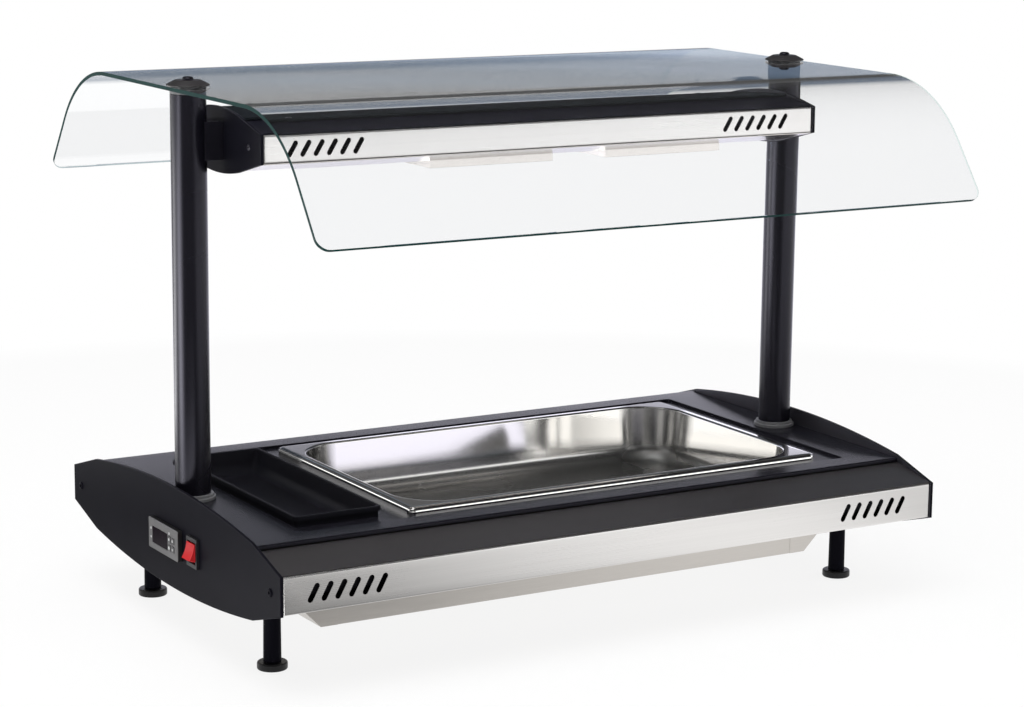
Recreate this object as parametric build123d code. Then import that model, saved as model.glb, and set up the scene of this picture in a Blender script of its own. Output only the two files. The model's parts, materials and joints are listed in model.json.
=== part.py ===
from build123d import *

import math
import os

# Buffet warmer with a lamp gantry. Millimetres, +X to the right, front towards -Y, +Z up,
# origin on the table under the middle of the base.

# Fits between pieces
seat_gap = 0.3
slide_gap = 0.2
thread_gap = 0.1
spin_gap = 0.05
sheet_gap = 0.05

# Food pan, a standard full-size pan measured over its rim
pan_length = 530.0
pan_width = 325.0
pan_depth = 65.0
pan_sheet = 0.9
pan_rim_width = 12.0
pan_rim_height = 8.0
pan_rim_bend = 3.0
pan_rim_corner = 8.0
pan_mouth_corner = 55.0
pan_floor_bend = 18.0
pan_draft = 6.0
pan_lip_sheet = 1.2

# Utensil tray
tray_width = 102.0
tray_length = 303.0
tray_set_back = 1.5
tray_depth = 25.0
tray_wall = 2.5
tray_rim_width = 4.0
tray_rim_height = 5.0
tray_skirt_inset = 2.5
tray_skirt_height = 6.5
tray_corner = 5.0
tray_rim_round = 1.0
tray_draft = 12.0

# Deck and its opening, which takes the tray and the pan side by side
opening_left_margin = 12.0
tray_gap = 26.5
opening_right_margin = 27.5
opening_front_margin = 14.0
opening_rear_margin = 23.0
opening_corner = 4.0
deck_border = 30.0
deck_sheet = 1.5
deck_lip = 4.0
deck_lip_bend = 2.0
recess_depth = 3.0
post_zone = 57.0

# Base casing
panel_thickness = 4.0
slope_run = 59.5
strip_inset = 1.0
ground_clearance = 91.3
strip_height = 40.0
strip_depth = 12.0
strip_sheet = 1.0
strip_bend = 2.5
deck_rise = 17.7
slope_sheet = 1.2
slope_shadow_gap = 1.2
slope_tuck = 4.5
panel_edge_margin = 0.5
panel_kink_inset = 64.9
panel_kink_rise = 19.7
panel_crown_rise = 15.8
bottom_sheet = 1.5
tie_bar_inset = 22.0
tie_bar_size = 12.0

# Slanted vent slots at both ends of a strip
vent_count = 6
vent_shift = -4.5
base_vent_pitch = 15.3
base_vent_inset = 38.0
base_vent_tilt = 28.5
base_vent_length = 21.5
base_vent_width = 6.0
lamp_vent_pitch = 15.2
lamp_vent_inset = 36.5
lamp_vent_tilt = 31.0
lamp_vent_length = 19.5
lamp_vent_width = 5.5

# Heated well and what is under it
ledge_overlap = 10.0
ledge_sheet = 1.5
well_play = 1.5
tank_sheet = 1.0
tank_inset_length = 4.0
tank_inset_width = 8.0
tank_space = 19.0
casing_space = 30.0
casing_sheet = 1.0
casing_gap = 3.0
casing_neck = 17.0
casing_end_gap = 0.5
casing_flange = 12.0
casing_flange_setback = 14.0
casing_seam_sheet = 0.6
casing_seam_inset = 20.0
element_diameter = 8.0
element_runs = 4
element_pitch = 70.0
element_end_inset = 70.0
element_overrun = 24.0
clamp_width = 12.0
clamp_thickness = 2.0
clamp_stud_radius = 2.5
clamp_spread = 110.0
terminal_radius = 6.0
terminal_length = 20.0
insulation_thickness = 14.5
insulation_gap = 6.0
probe_radius = 3.0
probe_length = 40.0
probe_y = 60.0
probe_rise = 6.0

# Electrics at the left end
cover_depth = 15.0
cover_sheet = 1.2
cover_margin = 4.0
notch_margin = 7.0
notch_length = 58.0
terminal_block_length = 30.0
terminal_block_width = 40.0
terminal_block_height = 18.0
terminal_block_y = 110.0
terminal_block_inset = 28.0
gland_y = 215.0
gland_inset = 42.0
gland_bore = 3.7
gland_thread = 8.0
gland_thread_length = 12.0
gland_hex = 12.0
gland_hex_height = 5.0
gland_dome = 10.0
gland_dome_height = 14.0
gland_nut_height = 4.0

# Controller on the left end panel
controller_y = 4.0
controller_drop = 4.1
bezel_width = 77.0
bezel_height = 33.5
bezel_thickness = 5.5
bezel_corner = 2.0
bezel_border = 3.0
controller_body_depth = 51.0
display_width = 40.5
display_height = 18.0
display_shift = 8.7
display_drop = 1.1
display_recess = 0.4
display_thickness = 1.5
key_width = 6.5
key_height = 6.5
key_first_shift = 17.4
key_column_pitch = 8.9
key_row_pitch = 9.25
key_row_drop = 1.3
key_stand = 0.8
key_thickness = 2.4
key_travel = 0.6

# Mains switch on the left end panel
switch_y = -64.5
switch_drop = 3.0
switch_bezel_width = 25.5
switch_bezel_height = 32.0
switch_bezel_thickness = 3.0
switch_bezel_border = 1.2
switch_pocket_depth = 11.5
switch_body_depth = 22.0
rocker_width = 19.4
rocker_half_height = 9.0
rocker_end_stand = 7.25
rocker_centre_stand = 6.0
rocker_back = 5.0
rocker_tilt = 18.0
rocker_pivot_depth = 2.5
rocker_pin_radius = 1.5
rocker_pin_length = 1.2

# Legs and levelling feet
leg_inset_x = 46.0
leg_inset_y = 115.5
leg_top_radius = 8.75
leg_bottom_radius = 9.5
leg_stud_radius = 4.0
leg_stud_length = 12.0
foot_radius = 16.0
foot_height = 8.0
foot_round = 1.5
spindle_radius = 4.0
spindle_length = 30.0

# Posts, collars and what holds the glass
post_radius = 19.0
post_wall = 2.0
post_plug = 10.0
post_height = 433.2
post_inset = 24.4
collar_radius = 24.1
collar_foot_height = 3.5
collar_step = 2.1
collar_height = 6.5
collar_round = 0.8
stiffener_half_length = 30.0
stiffener_half_width = 16.0
stiffener_thickness = 3.0
bolt_radius = 5.0
bolt_head_radius = 9.0
bolt_head_height = 7.0
lower_gasket_thickness = 3.0
upper_gasket_thickness = 1.0
cap_radius = 22.8
cap_top_radius = 13.8
cap_edge = 1.5
cap_height = 6.0
cap_screw_radius = 4.0
cap_screw_head_radius = 6.0
cap_screw_head_height = 3.5
cap_screw_socket = 2.5
cap_screw_socket_depth = 2.2
glass_hole_radius = 6.0

# Bent glass canopy
glass_thickness = 4.0
glass_overhang = 20.4
glass_flat_half_depth = 179.5
glass_bend_radius = 148.8
glass_bend_angle = 54.0
glass_flap_length = 75.5
glass_corner = 14.0

# Lamp housing between the posts
lamp_end_gap = 13.2
lamp_drop = 52.4
lamp_face = 104.8
lamp_cap_margin = 1.0
lamp_cap_thickness = 4.0
lamp_strip_height = 30.0
lamp_strip_depth = 10.0
lamp_edge_margin = 0.5
lamp_kink_half_depth = 50.0
lamp_kink_rise = 14.5
lamp_crown_rise = 5.0
lamp_top_rise = 13.2
lamp_top_half_depth = 54.0
lamp_top_sheet = 1.2
lamp_top_lip = 3.0
lamp_top_bend = 1.5
lamp_slope_sheet = 1.0
lamp_slope_shadow_gap = 0.8
lamp_under_sheet = 1.0
lamp_under_drop = 12.4
lamp_bar_size = 10.0
lamp_bar_y = 79.0
bracket_half_width = 16.0
bracket_half_height = 20.0
bracket_wrap = 8.0

# Reflectors and lamps, one pair over the pan
lamp_shift = 12.0
lamp_spacing = 224.0
reflector_length = 155.0
reflector_half_width = 46.0
reflector_drop = 9.0
reflector_shoulder = 10.0
reflector_roof_half_width = 22.0
reflector_roof_rise = 20.0
reflector_sheet = 1.0
reflector_flange = 7.0
reflector_play = 0.5
tube_radius = 5.0
tube_length = 118.0
tube_cap_radius = 4.0
tube_cap_length = 7.0
tube_rise = 7.5
holder_half_width = 9.0
holder_half_height = 9.0

# Small screws
screw_radius = 2.0
screw_head_radius = 4.5
screw_head_height = 1.6
screw_length = 14.0
small_screw_head_radius = 3.5
small_screw_head_height = 1.2
small_screw_length = 9.0
top_screw_inset_x = 56.0
top_screw_inset_y = 8.0
top_screw_length = 6.0

# Places along X
opening_length = opening_left_margin + tray_width + tray_gap + pan_length + opening_right_margin
opening_half_length = opening_length / 2
tray_x = -opening_half_length + opening_left_margin + tray_width / 2
pan_x = opening_half_length - opening_right_margin - pan_length / 2
inner_half = opening_half_length + post_zone
outer_half = inner_half + panel_thickness
post_x = inner_half - post_inset
leg_x = outer_half - leg_inset_x
lamp_half = post_x - post_radius - lamp_end_gap
lamp_inner_half = lamp_half - lamp_cap_thickness
glass_half_length = post_x + glass_overhang

# Places along Y
opening_half_depth = (opening_front_margin + pan_width + opening_rear_margin) / 2
pan_y = opening_front_margin + pan_width / 2 - opening_half_depth
tray_y = pan_y + tray_set_back
deck_half_depth = opening_half_depth + deck_border
strip_face = deck_half_depth + slope_run
panel_half_depth = strip_face + strip_inset
tie_bar_y = panel_half_depth - tie_bar_inset
leg_y = panel_half_depth - leg_inset_y
tank_half_depth = pan_width / 2 - tank_inset_width
casing_half_depth = tank_half_depth + abs(pan_y) + casing_gap

# Heights
strip_top = ground_clearance + strip_height
base_mid = ground_clearance + strip_height / 2
deck_top = strip_top + deck_rise
deck_under = deck_top - deck_sheet
ledge_top = deck_top - recess_depth
ledge_under = ledge_top - ledge_sheet
pan_top = ledge_top + pan_rim_height
tray_top = ledge_top + tray_skirt_height + tray_rim_height
tank_floor = pan_top - pan_depth - tank_space
tank_under = tank_floor - tank_sheet
element_z = tank_under - seat_gap - element_diameter / 2
clamp_top = element_z - element_diameter / 2 - seat_gap
casing_floor = tank_under - casing_space
casing_under = casing_floor - casing_sheet
plate_under = ground_clearance + strip_sheet
plate_top = plate_under + bottom_sheet
casing_bevel = plate_under - casing_under - casing_neck
controller_z = base_mid - controller_drop
switch_z = base_mid - switch_drop
post_top = deck_top + post_height
glass_under = post_top + lower_gasket_thickness
glass_top = glass_under + glass_thickness
cap_bottom = glass_top + upper_gasket_thickness
cap_top = cap_bottom + cap_height
lamp_mid = glass_under - lamp_drop
lamp_strip_low = lamp_mid - lamp_strip_height / 2
lamp_strip_top = lamp_mid + lamp_strip_height / 2
lamp_top = lamp_strip_top + lamp_top_rise
under_flat = lamp_strip_low - lamp_under_drop
tube_z = under_flat + tube_rise

# Lengthwise size of the casing under the base
casing_half = opening_half_length - casing_end_gap
tank_half_length = pan_length / 2 - tank_inset_length

parts = {}


def keep(name, *pieces):
    """File one or more solids under the name of their node."""
    parts[name] = [solid for piece in pieces for solid in piece.solids()]


def block(low, high):
    """Box between its lowest and its highest corner."""
    size = [b - a for a, b in zip(low, high)]
    middle = [(a + b) / 2 for a, b in zip(low, high)]
    return Pos(*middle) * Box(*size)


def upright(radius, x, y, low, high):
    """Round bar that stands along Z."""
    return Pos(x, y, (low + high) / 2) * Cylinder(radius, high - low)


def along_x(radius, low, high, y, z):
    """Round bar that lies along X."""
    return Pos((low + high) / 2, y, z) * Rot(0, 90, 0) * Cylinder(radius, high - low)


def along_y(radius, x, low, high, z):
    """Round bar that lies along Y."""
    return Pos(x, (low + high) / 2, z) * Rot(90, 0, 0) * Cylinder(radius, high - low)


def rounded_block(length, width, corner, x, y, low, high, taper=0.0):
    """Block with round upright corners, drawn at its top and carried down, narrowing by the taper."""
    outline = Pos(x, y, high) * RectangleRounded(length, width, corner)
    return extrude(outline, amount=low - high, taper=taper)


def sheet_along_x(points, low, high):
    """Straight-sided outline of (y, z) points, carried along X."""
    outline = Polyline(*[(low, y, z) for y, z in points], close=True)
    return extrude(make_face(outline), amount=high - low, dir=(1, 0, 0))


def sheet_along_y(points, low, high):
    """Straight-sided outline of (x, z) points, carried along Y."""
    outline = Polyline(*[(x, low, z) for x, z in points], close=True)
    return extrude(make_face(outline), amount=high - low, dir=(0, 1, 0))


def turned(points, x, y):
    """Outline of (radius, height) points, turned about an upright axis."""
    outline = Polyline(*[(radius, 0, height) for radius, height in points], close=True)
    return Pos(x, y, 0) * revolve(make_face(outline), Axis.Z)


def half_turn(piece):
    """The same piece turned half round the upright axis, as the rear twin of a front piece."""
    return Rot(0, 0, 180) * piece


def lens_plate(low, thickness, mid, half_depth, edge, kink_depth, kink, crown):
    """Plate across X: short upright edges, straight slopes to a kink, and a shallow arc between the kinks."""

    def point(y, z):
        return (low, y, mid + z)

    outline = [
        Line(point(-half_depth, -edge), point(-half_depth, edge)),
        Line(point(-half_depth, edge), point(-kink_depth, kink)),
        ThreePointArc(point(-kink_depth, kink), point(0, crown), point(kink_depth, kink)),
        Line(point(kink_depth, kink), point(half_depth, edge)),
        Line(point(half_depth, edge), point(half_depth, -edge)),
        Line(point(half_depth, -edge), point(kink_depth, -kink)),
        ThreePointArc(point(kink_depth, -kink), point(0, -crown), point(-kink_depth, -kink)),
        Line(point(-kink_depth, -kink), point(-half_depth, -edge)),
    ]
    return extrude(make_face(outline), amount=thickness, dir=(1, 0, 0))


def vent_slots(half_length, face, mid, depth, inset, pitch, tilt, length, width):
    """Two rows of slanted slots, one at each end of a front strip, their tops leaning to the right."""
    plane = Plane(origin=(0, -face, 0), x_dir=(1, 0, 0), z_dir=(0, -1, 0))
    slots = []
    for end in (-1, 1):
        for step in range(vent_count):
            x = vent_shift + end * (half_length - inset - step * pitch)
            slots.append(plane * Pos(x, mid) * Rot(0, 0, 90 - tilt) * SlotOverall(length, width))
    return [extrude(slot, amount=depth, both=True) for slot in slots]


def trim_strip(half_length, face, low, height, depth, vents):
    """Folded sheet tray that shows its closed side to the front, with its vent slots."""
    strip = block((-half_length, -face, low), (half_length, depth - face, low + height))
    front = strip.faces().sort_by(Axis.Y)[0]
    strip = fillet(front.edges(), strip_bend)
    inside_low = (strip_sheet - half_length, strip_sheet - face, low + strip_sheet)
    inside_high = (half_length - strip_sheet, depth - face, low + height - strip_sheet)
    strip -= block(inside_low, inside_high)
    return strip - vent_slots(half_length, face, low + height / 2, depth / 2, *vents)


def slope_panel(half_length, low_y, low_z, high_y, high_z, tab_top, sheet):
    """Sloping sheet from the strip's top up to under the deck's lip, with a tab against the deck."""
    rise = (high_z - low_z) / (high_y - low_y)
    inner_y = high_y + sheet
    inner_z = high_z - sheet
    toe_y = inner_y - (inner_z - low_z + sheet_gap) / rise
    points = [
        (low_y, low_z + sheet_gap),
        (low_y, low_z + sheet),
        (high_y, high_z),
        (high_y, tab_top),
        (inner_y, tab_top),
        (inner_y, inner_z),
        (max(toe_y, low_y + sheet), low_z + sheet_gap),
    ]
    return sheet_along_x(points, -half_length, half_length)


def lipped_plate(half_length, half_depth, top, sheet, lip, bend):
    """Flat plate whose front and rear edges are bent down into a rounded lip."""
    plate = block((-half_length, -half_depth, top - lip), (half_length, half_depth, top))
    long_edges = plate.edges().filter_by(Axis.X).sort_by(Axis.Z)[-2:]
    plate = fillet(long_edges, bend)
    inside_low = (-half_length, sheet - half_depth, top - lip)
    inside_high = (half_length, half_depth - sheet, top - sheet)
    return plate - block(inside_low, inside_high)


def dome_screw(head_radius, head_height, shank_radius, shank_length):
    """Screw along Z with a domed head above z = 0 and its shank below."""
    points = [
        (0, -shank_length),
        (shank_radius, -shank_length),
        (shank_radius, 0),
        (head_radius, 0),
        (head_radius, head_height * 0.35),
        (head_radius * 0.6, head_height),
        (0, head_height),
    ]
    return turned(points, 0, 0)


def side_screw(side, x, y, z, *sizes):
    """Domed screw whose head stands out of the left (-1) or the right (+1) end."""
    return Pos(x, y, z) * Rot(0, side * 90, 0) * dome_screw(*sizes)


# End panels
panel_edge = strip_height / 2 + panel_edge_margin
panel_kink_depth = panel_half_depth - panel_kink_inset
panel_kink = panel_edge + panel_kink_rise
panel_crown = panel_kink + panel_crown_rise
panel_shape = (base_mid, panel_half_depth, panel_edge, panel_kink_depth, panel_kink, panel_crown)
left_panel = lens_plate(-outer_half, panel_thickness, *panel_shape)
right_panel = lens_plate(inner_half, panel_thickness, *panel_shape)
bar_screw_places = [(side, y) for side in (-1, 1) for y in (-tie_bar_y, tie_bar_y)]
for side, y in bar_screw_places:
    wall = side * inner_half
    hole = along_x(screw_radius + thread_gap, wall - panel_thickness, wall + panel_thickness, y, base_mid)
    left_panel -= hole
    right_panel -= hole
controller_body_width = bezel_width - 2 * bezel_border
controller_body_height = bezel_height - 2 * bezel_border
switch_body_width = switch_bezel_width - 2 * switch_bezel_border
switch_body_height = switch_bezel_height - 2 * switch_bezel_border
for y, z, width, height in (
    (controller_y, controller_z, controller_body_width, controller_body_height),
    (switch_y, switch_z, switch_body_width, switch_body_height),
):
    half_width = width / 2 + slide_gap
    half_height = height / 2 + slide_gap
    left_panel -= block((-outer_half, y - half_width, z - half_height),
                        (-inner_half, y + half_width, z + half_height))
keep("left_end_panel", left_panel)
keep("right_end_panel", right_panel)

# Tie bars between the end panels, and the screws in their ends
tie_bars = []
panel_screws = []
for y in (-tie_bar_y, tie_bar_y):
    half = tie_bar_size / 2
    bar = block((-inner_half, y - half, base_mid - half), (inner_half, y + half, base_mid + half))
    for side in (-1, 1):
        wall = side * inner_half
        bar -= along_x(screw_radius + thread_gap, wall - screw_length, wall + screw_length, y, base_mid)
        panel_screws.append(side_screw(side, side * outer_half, y, base_mid,
                                       screw_head_radius, screw_head_height, screw_radius, screw_length))
    tie_bars.append(bar)
keep("base_tie_bars", *tie_bars)
keep("panel_screws", *panel_screws)

# Deck plate with its opening and the holes for the posts' bolts
deck = lipped_plate(inner_half, deck_half_depth, deck_top, deck_sheet, deck_lip, deck_lip_bend)
deck += rounded_block(opening_length + 2 * deck_sheet, 2 * (opening_half_depth + deck_sheet),
                      opening_corner + deck_sheet, 0, 0, ledge_top, deck_under)
deck -= rounded_block(opening_length, 2 * opening_half_depth, opening_corner, 0, 0, ledge_top, deck_top)
for side in (-1, 1):
    deck -= upright(bolt_radius + seat_gap, side * post_x, 0, deck_under, deck_top)
keep("deck_plate", deck)

# Slope panels between the strips and the deck
front_slope = slope_panel(inner_half, strip_inset - strip_face, strip_top, slope_tuck - deck_half_depth,
                          deck_top - deck_lip - slope_shadow_gap, deck_under, slope_sheet)
keep("front_slope_panel", front_slope)
keep("rear_slope_panel", half_turn(front_slope))

# Slotted trim strips
base_vents = (base_vent_inset, base_vent_pitch, base_vent_tilt, base_vent_length, base_vent_width)
front_strip = trim_strip(inner_half, strip_face, ground_clearance, strip_height, strip_depth, base_vents)
keep("front_trim_strip", front_strip)
keep("rear_trim_strip", half_turn(front_strip))

# Bottom plate, laid on the strips' lower folds, open over the casing and notched for the controls
plate_half_length = inner_half - strip_sheet - sheet_gap
plate_half_depth = strip_face - strip_sheet - sheet_gap
bottom_plate = block((-plate_half_length, -plate_half_depth, plate_under),
                     (plate_half_length, plate_half_depth, plate_top))
bottom_plate -= block((casing_sheet - casing_half, casing_sheet - casing_half_depth, plate_under),
                      (casing_half - casing_sheet, casing_half_depth - casing_sheet, plate_top))
notch_front = switch_y - switch_body_width / 2 - notch_margin
notch_rear = controller_y + controller_body_width / 2 + notch_margin
bottom_plate -= block((-plate_half_length, notch_front, plate_under),
                      (notch_length - inner_half, notch_rear, plate_top))
for side_x in (-1, 1):
    for side_y in (-1, 1):
        bottom_plate -= upright(leg_stud_radius + thread_gap, side_x * leg_x, side_y * leg_y,
                                plate_under, plate_top)
gland_x = gland_inset - inner_half
bottom_plate -= upright(gland_thread + thread_gap, gland_x, gland_y, plate_under, plate_top)
keep("bottom_plate", bottom_plate)

# Cover under the notch, a shallow tray that hangs from the bottom plate, open to the end panel
cover_low = plate_under - cover_depth
cover_right = -casing_half - casing_gap
cover_box = ((-plate_half_length, notch_front - cover_margin, cover_low),
             (cover_right, notch_rear + cover_margin, plate_under))
cover = block(*cover_box)
cover -= block((cover_box[0][0], cover_box[0][1] + cover_sheet, cover_low + cover_sheet),
               (cover_box[1][0] - cover_sheet, cover_box[1][1] - cover_sheet, plate_under))
keep("electrics_cover", cover)


def casing_outline(half_top, half_bottom, low, shoulder, high):
    """Half hexagon of (x, z) points: upright necks over slanting ends and a flat floor."""
    return [(-half_top, high), (-half_top, shoulder), (-half_bottom, low),
            (half_bottom, low), (half_top, shoulder), (half_top, high)]


# Casing under the base: upright long walls, slanting ends and a lapped seam near each end
casing_shoulder = casing_under + casing_bevel
casing_bottom_half = casing_half - casing_bevel
slant_sheet = casing_sheet * math.sqrt(2)
inner_shoulder = casing_shoulder + slant_sheet - casing_sheet
inner_bottom_half = casing_half - casing_sheet - (inner_shoulder - casing_floor)
casing_outside = casing_outline(casing_half, casing_bottom_half, casing_under, casing_shoulder, plate_under)
casing_inside = casing_outline(casing_half - casing_sheet, inner_bottom_half, casing_floor, inner_shoulder,
                               plate_under)
casing = sheet_along_y(casing_outside, -casing_half_depth, casing_half_depth)
for side in (-1, 1):
    outer_y = side * (casing_half_depth + casing_flange)
    casing += block((casing_flange_setback - casing_half, min(0, outer_y), plate_under - casing_sheet),
                    (casing_half - casing_flange_setback, max(0, outer_y), plate_under))
    for end in (-1, 1):
        seam_x = end * (casing_bottom_half - casing_seam_inset)
        seam = [(seam_x, casing_under), (end * casing_bottom_half, casing_under),
                (end * casing_half, casing_shoulder), (end * casing_half, plate_under - casing_sheet),
                (seam_x, plate_under - casing_sheet)]
        wall_y = side * casing_half_depth
        lap_y = wall_y + side * casing_seam_sheet
        casing += sheet_along_y(seam, min(wall_y, lap_y), max(wall_y, lap_y))
casing -= sheet_along_y(casing_inside, casing_sheet - casing_half_depth, casing_half_depth - casing_sheet)
keep("bottom_casing", casing)

# Heated well: a ledge under the deck's opening, cut out for the tray, with a tank under the pan
pan_mouth_length = pan_length - 2 * pan_rim_width
pan_mouth_width = pan_width - 2 * pan_rim_width
tray_body_length = tray_length - 2 * tray_rim_width
tray_body_width = tray_width - 2 * tray_rim_width
well = block((-opening_half_length - ledge_overlap, -opening_half_depth - ledge_overlap, ledge_under),
             (opening_half_length + ledge_overlap, opening_half_depth + ledge_overlap, ledge_top))
well += block((pan_x - tank_half_length, pan_y - tank_half_depth, tank_under),
              (pan_x + tank_half_length, pan_y + tank_half_depth, ledge_under))
well -= block((pan_x - tank_half_length + tank_sheet, pan_y - tank_half_depth + tank_sheet, tank_floor),
              (pan_x + tank_half_length - tank_sheet, pan_y + tank_half_depth - tank_sheet, ledge_under))
well -= rounded_block(pan_mouth_length + 2 * well_play, pan_mouth_width + 2 * well_play, pan_mouth_corner,
                      pan_x, pan_y, ledge_under, ledge_top)
well -= rounded_block(tray_body_width + 2 * well_play, tray_body_length + 2 * well_play, tray_corner,
                      tray_x, tray_y, ledge_under, ledge_top)
keep("heated_well", well)

# Heating element: one bent tube that runs to and fro under the tank, its two ends to the left
element_left = pan_x - tank_half_length + element_end_inset
element_tail = element_end_inset + element_overrun
element_right = pan_x + tank_half_length - element_end_inset
run_places = [pan_y + (run - (element_runs - 1) / 2) * element_pitch for run in range(element_runs)]
element_path = []
for run, y in enumerate(run_places):
    heading = 1 if run % 2 == 0 else -1
    start_x = element_left if heading > 0 else element_right
    end_x = element_right if heading > 0 else element_left
    if run == 0:
        start_x -= element_tail
    if run == element_runs - 1:
        end_x -= element_tail
    element_path.append(Line((start_x, y, element_z), (end_x, y, element_z)))
    if run < element_runs - 1:
        bulge_x = end_x + heading * element_pitch / 2
        element_path.append(ThreePointArc((end_x, y, element_z), (bulge_x, y + element_pitch / 2, element_z),
                                          (end_x, y + element_pitch, element_z)))
element_start = Plane(origin=(element_left - element_tail, run_places[0], element_z), z_dir=(1, 0, 0))
element = sweep(element_start * Circle(element_diameter / 2), path=Wire(element_path))
keep("heating_element", element)

# Ceramic terminals on the element's two ends
terminal_right = element_left - element_tail
terminal_left = terminal_right - terminal_length
keep("element_terminals", *[along_x(terminal_radius, terminal_left, terminal_right, y, element_z)
                            for y in (run_places[0], run_places[-1])])

# Clamps: a flat bar under the runs, hung from the tank on studs between them
clamps = []
clamp_half = (element_runs - 1) / 2 * element_pitch + element_diameter
for side in (-1, 1):
    x = pan_x + side * clamp_spread
    clamp = block((x - clamp_width / 2, pan_y - clamp_half, clamp_top - clamp_thickness),
                  (x + clamp_width / 2, pan_y + clamp_half, clamp_top))
    for run in range(element_runs - 1):
        clamp += upright(clamp_stud_radius, x, run_places[run] + element_pitch / 2, clamp_top, tank_under)
    clamps.append(clamp)
keep("element_clamps", *clamps)

# Insulation on the casing's floor
insulation_half = casing_bottom_half - insulation_gap
insulation_depth = casing_half_depth - insulation_gap
keep("insulation_slab", block((-insulation_half, -insulation_depth, casing_floor),
                              (insulation_half, insulation_depth, casing_floor + insulation_thickness)))

# Temperature probe against the tank's left wall
probe_right = pan_x - tank_half_length
keep("temperature_probe", along_x(probe_radius, probe_right - probe_length, probe_right, probe_y,
                                  tank_under + probe_rise))

# Terminal block on the bottom plate
block_x = terminal_block_inset - inner_half
keep("terminal_block", Pos(block_x, terminal_block_y, plate_top + terminal_block_height / 2)
     * Box(terminal_block_length, terminal_block_width, terminal_block_height))

# Cable gland through the bottom plate: hexagon and dome below, thread and nut above
gland_hexagon = Pos(gland_x, gland_y, plate_under - gland_hex_height) * RegularPolygon(gland_hex, 6)
gland = extrude(gland_hexagon, amount=gland_hex_height)
gland += upright(gland_thread, gland_x, gland_y, plate_under, plate_under + gland_thread_length)
gland += turned([(0, plate_under - gland_hex_height - gland_dome_height),
                 (gland_dome * 0.7, plate_under - gland_hex_height - gland_dome_height),
                 (gland_dome, plate_under - gland_hex_height - gland_dome_height * 0.6),
                 (gland_dome, plate_under - gland_hex_height),
                 (0, plate_under - gland_hex_height)], gland_x, gland_y)
gland_low = plate_under - gland_hex_height - gland_dome_height
gland -= upright(gland_bore, gland_x, gland_y, gland_low, plate_under + gland_thread_length)
gland_nut = extrude(Pos(gland_x, gland_y, plate_top) * RegularPolygon(gland_hex, 6), amount=gland_nut_height)
gland_nut -= upright(gland_thread + thread_gap, gland_x, gland_y, plate_top, plate_top + gland_nut_height)
keep("cable_gland", gland, gland_nut)

# Food pan: a drawn shell with a flat rim and a turned-down lip
pan_low = pan_top - pan_depth
pan_body = rounded_block(pan_mouth_length, pan_mouth_width, pan_mouth_corner, pan_x, pan_y, pan_low, pan_top,
                         pan_draft)
pan_body = fillet(pan_body.faces().sort_by(Axis.Z)[0].edges(), pan_floor_bend)
pan_inside = rounded_block(pan_mouth_length - 2 * pan_sheet, pan_mouth_width - 2 * pan_sheet,
                           pan_mouth_corner - pan_sheet, pan_x, pan_y, pan_low + pan_sheet, pan_top, pan_draft)
pan_inside = fillet(pan_inside.faces().sort_by(Axis.Z)[0].edges(), pan_floor_bend - pan_sheet)
pan_rim = rounded_block(pan_length, pan_width, pan_rim_corner, pan_x, pan_y, ledge_top, pan_top)
pan_rim = fillet(pan_rim.faces().sort_by(Axis.Z)[-1].edges(), pan_rim_bend)
pan_rim -= rounded_block(pan_length - 2 * pan_lip_sheet, pan_width - 2 * pan_lip_sheet,
                         pan_rim_corner - pan_lip_sheet, pan_x, pan_y, ledge_top, pan_top - pan_lip_sheet)
food_pan = pan_rim + pan_body - pan_inside
keep("food_pan", food_pan)

# Utensil tray: a deep rim on a skirt, and a body that narrows to its floor
tray_inner_width = tray_width - 2 * tray_rim_width
tray_inner_length = tray_length - 2 * tray_rim_width
tray_floor = tray_top - tray_depth
tray_rim_low = tray_top - tray_rim_height
tray_rim = rounded_block(tray_width, tray_length, tray_corner, tray_x, tray_y, tray_rim_low, tray_top)
tray_rim = fillet(tray_rim.faces().sort_by(Axis.Z)[-1].edges(), tray_rim_round)
tray_rim += rounded_block(tray_width - 2 * tray_skirt_inset, tray_length - 2 * tray_skirt_inset,
                          tray_corner - tray_skirt_inset, tray_x, tray_y, ledge_top, tray_rim_low)
tray_rim += rounded_block(tray_inner_width, tray_inner_length, tray_corner, tray_x, tray_y,
                          tray_floor - tray_wall, ledge_top, tray_draft)
tray_shrink = 2 * (tray_skirt_height + tray_rim_height) * math.tan(math.radians(tray_draft))
tray_mouth_width = tray_inner_width - 2 * tray_wall + tray_shrink
tray_mouth_length = tray_inner_length - 2 * tray_wall + tray_shrink
utensil_tray = tray_rim - rounded_block(tray_mouth_width, tray_mouth_length, tray_corner, tray_x, tray_y,
                                        tray_floor, tray_top, tray_draft)
keep("utensil_tray", utensil_tray)

# Controller: bezel on the panel, case behind it, a sunk window and four key pockets
bezel_face = -outer_half - bezel_thickness
bezel_outline = RectangleRounded(bezel_height, bezel_width, bezel_corner)
bezel = Rot(0, -90, 0) * extrude(bezel_outline, amount=bezel_thickness)
controller = Pos(-outer_half, controller_y, controller_z) * bezel
controller += Pos(controller_body_depth / 2 - outer_half, controller_y, controller_z) \
    * Box(controller_body_depth, controller_body_width, controller_body_height)
display_y = controller_y + display_shift
display_z = controller_z - display_drop
window_depth = display_recess + display_thickness
controller -= Pos(bezel_face + window_depth / 2, display_y, display_z) \
    * Box(window_depth, display_width + 2 * slide_gap, display_height + 2 * slide_gap)
keep("display_window", Pos(bezel_face + display_recess + display_thickness / 2, display_y, display_z)
     * Box(display_thickness, display_width, display_height))
key_names = (("set_key", 0, 0), ("up_key", 1, 0), ("down_key", 1, 1), ("power_key", 0, 1))
key_front = bezel_face - key_stand
key_back = key_front + key_thickness
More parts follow.
